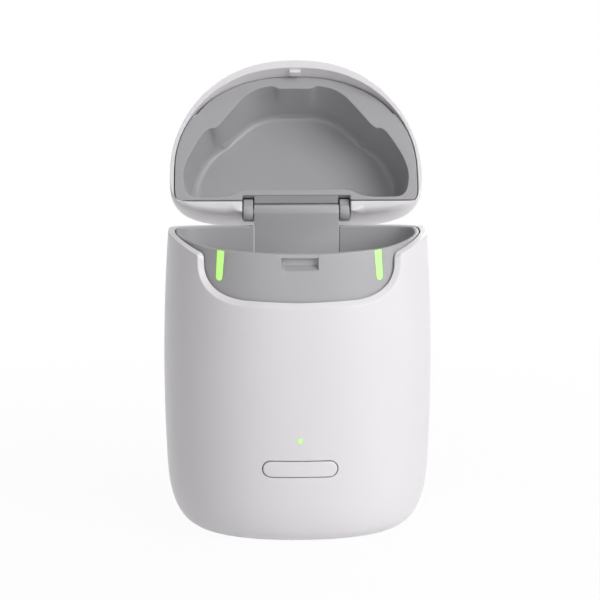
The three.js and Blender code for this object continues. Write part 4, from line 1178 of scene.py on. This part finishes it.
def hinge_flange(piece):
    """A sloping strip between the ears that closes the gap from the liner to the hinge tower."""
    near = LINER_NOTCH_BACK - FLANGE_LAP
    far = HINGE_Y - KNUCKLE - GAP
    foot = np.array([near, LINER_LOW - FLANGE_DROP])
    tip = np.array([far, foot[1] + FLANGE_RISE])
    end = np.array([far, tip[1] + FLANGE_WALL])
    back = np.array([near, end[1]])
    profile = np.array([
        foot, *bend(towards(tip, foot, FLANGE_EDGE), tip, towards(tip, end, FLANGE_EDGE)),
        *bend(towards(end, tip, FLANGE_EDGE), end, towards(end, back, FLANGE_EDGE)), back])
    sides = [np.insert(profile, 0, x, axis=1) for x in (-FLANGE_HALF, FLANGE_HALF)]
    piece.band(sides)
    for side in sides:
        piece.add(side, [range(len(side))])


lid_shell()
lid_liner()


# The parts of the frame that keep their own shape, with their finish and the width of their soft edges.
def soften(name, material, width, segments=3):
    """Finishes a part of the frame and rounds its edges over a width in millimetres."""
    part = nodes[name]
    part.data.materials.clear()
    part.data.materials.append(material)
    part.data.polygons.foreach_set("use_smooth", [True] * len(part.data.polygons))
    weld = part.modifiers.new("weld", "WELD")
    weld.merge_threshold = SPECK * MM
    edge = part.modifiers.new("soft_edges", "BEVEL")
    edge.width = width * MM
    edge.segments = segments
    edge.limit_method = "ANGLE"
    edge.angle_limit = math.radians(32)
    edge.harden_normals = True


FINISHES = {
    "bottom_cover": (WHITE, 0.15), "foot_pad": (RUBBER, 0.3), "chassis": (INNER_GREY, 0.1),
    "main_board": (BOARD, 0.05), "usb_socket": (STEEL, 0.04), "battery_cell": (FOIL, 0.4),
    "front_board": (BOARD, 0.05), "button_switch": (DARK, 0.15), "status_lamp": (CLEAR, 0.1),
    "switch_plunger": (DARK, 0.1), "hinge_tower": (DOCK_GREY, 0.3), "hinge_pin": (STEEL, 0.15),
    "lid_catch": (LID_WHITE, 0.25),
    **{f"base_screw_{index}": (STEEL, 0.12) for index in range(1, 5)},
}
for word in ("left", "right"):
    FINISHES |= {
        f"lamp_strip_{word}": (BOARD, 0.05), f"slot_pad_{word}": (DARK, 0.2),
        f"charging_coil_{word}": (COPPER, 0.2), f"coil_shield_{word}": (DARK, 0.15),
        f"dock_screw_{word}": (STEEL, 0.12), f"hinge_screw_{word}": (STEEL, 0.12),
        f"hinge_ear_{word}": (DOCK_GREY, 0.25),
    }
for name, (material, width) in FINISHES.items():
    soften(name, material, width)


# The studio: a pale floor, a white surround and soft lamps.
SURROUND = (0.14, 0.138, 0.143)
PALE = (0.9, 0.9, 0.9)
WHITE_LIGHT = (1, 1, 1)
GLOSS_WHITE = 0.75
FLOOR_HALF = 3.0
SHADOW_SHARE = 0.05
SHADOW_FROM = 0.08
SHADOW_FADE = 0.2
LAMP_AIM = Vector((0, 0, 0.06))
LAMPS = {
    "key": ((0.7, -0.62, 0.55), (0.7, 0.7), 7.8),
    "left": ((-0.28, -0.92, 0.3), (0.4, 0.3), 1.05),
    "front": ((0.0, -1.0, 0.4), (0.5, 0.5), 0.45),
    "top": ((0.1, 0.1, 1.0), (0.6, 0.6), 2.0),
    "back": ((0.35, 0.85, 0.35), (0.5, 0.5), 2.4),
}


def seen_directly(maker, gloss=1.0):
    """1 where the view, or what glass and metal show of it, meets the surround itself."""
    seen, shine, through = (maker.make("ShaderNodeLightPath", {}, output=name)
                            for name in ("Is Camera Ray", "Is Glossy Ray", "Is Transmission Ray"))
    return maker.highest(seen, shine * gloss, through)


def stage_world():
    world = bpy.data.worlds.new("studio")
    bpy.context.scene.world = world
    world.use_nodes = True
    maker = Socket(world.node_tree)
    color = maker.mix(seen_directly(maker, GLOSS_WHITE), shade(SURROUND), shade(WHITE_LIGHT))
    color.to(world.node_tree.nodes["Background"], "Color")


def stage_floor():
    """A floor that looks white, apart from the faint shadow near the case."""
    mesh = bpy.data.meshes.new("floor")
    corners = [(x * FLOOR_HALF, y * FLOOR_HALF, 0) for x, y in ((-1, -1), (1, -1), (1, 1), (-1, 1))]
    mesh.from_pydata(corners, [], [range(4)])
    floor = bpy.data.objects.new("floor", mesh)
    bpy.context.scene.collection.objects.link(floor)
    material, shader, maker, _ = new_finish("pale_floor", Base_Color=shade(PALE), Roughness=0.9)
    where = maker.make("ShaderNodeNewGeometry", {}, output="Position")
    away = maker.make("ShaderNodeVectorMath", {0: where}, {"operation": "LENGTH"}, output="Value")
    far = maker.math("MINIMUM", maker.highest((away - SHADOW_FROM) * (1 / SHADOW_FADE), 0.0), 1.0)
    white = seen_directly(maker) * (1 - SHADOW_SHARE + SHADOW_SHARE * far)
    glow = maker.make("ShaderNodeEmission", {"Color": shade(WHITE_LIGHT), "Strength": 1.0})
    lit_floor = Socket(material.node_tree, shader.outputs[0])
    surface = maker.make("ShaderNodeMixShader", {0: white, 1: lit_floor, 2: glow})
    surface.to(material.node_tree.nodes["Material Output"], "Surface")
    mesh.materials.append(material)
    floor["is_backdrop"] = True


def lamp(name, place, size, power):
    data = bpy.data.lights.new(name, "AREA")
    data.shape = "RECTANGLE"
    data.size, data.size_y = size
    data.energy = power
    light = bpy.data.objects.new(name, data)
    light.location = place
    light.rotation_mode = "QUATERNION"
    light.rotation_quaternion = (LAMP_AIM - Vector(place)).to_track_quat("-Z", "Y")
    bpy.context.scene.collection.objects.link(light)


stage_world()
stage_floor()
for name, (place, size, power) in LAMPS.items():
    lamp(name, place, size, power)

bpy.context.scene.view_settings.view_transform = "Standard"


def corners(box):
    return [list(corner) for corner in box]


{"cad": corners(cad_box), "visual": corners(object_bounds())}
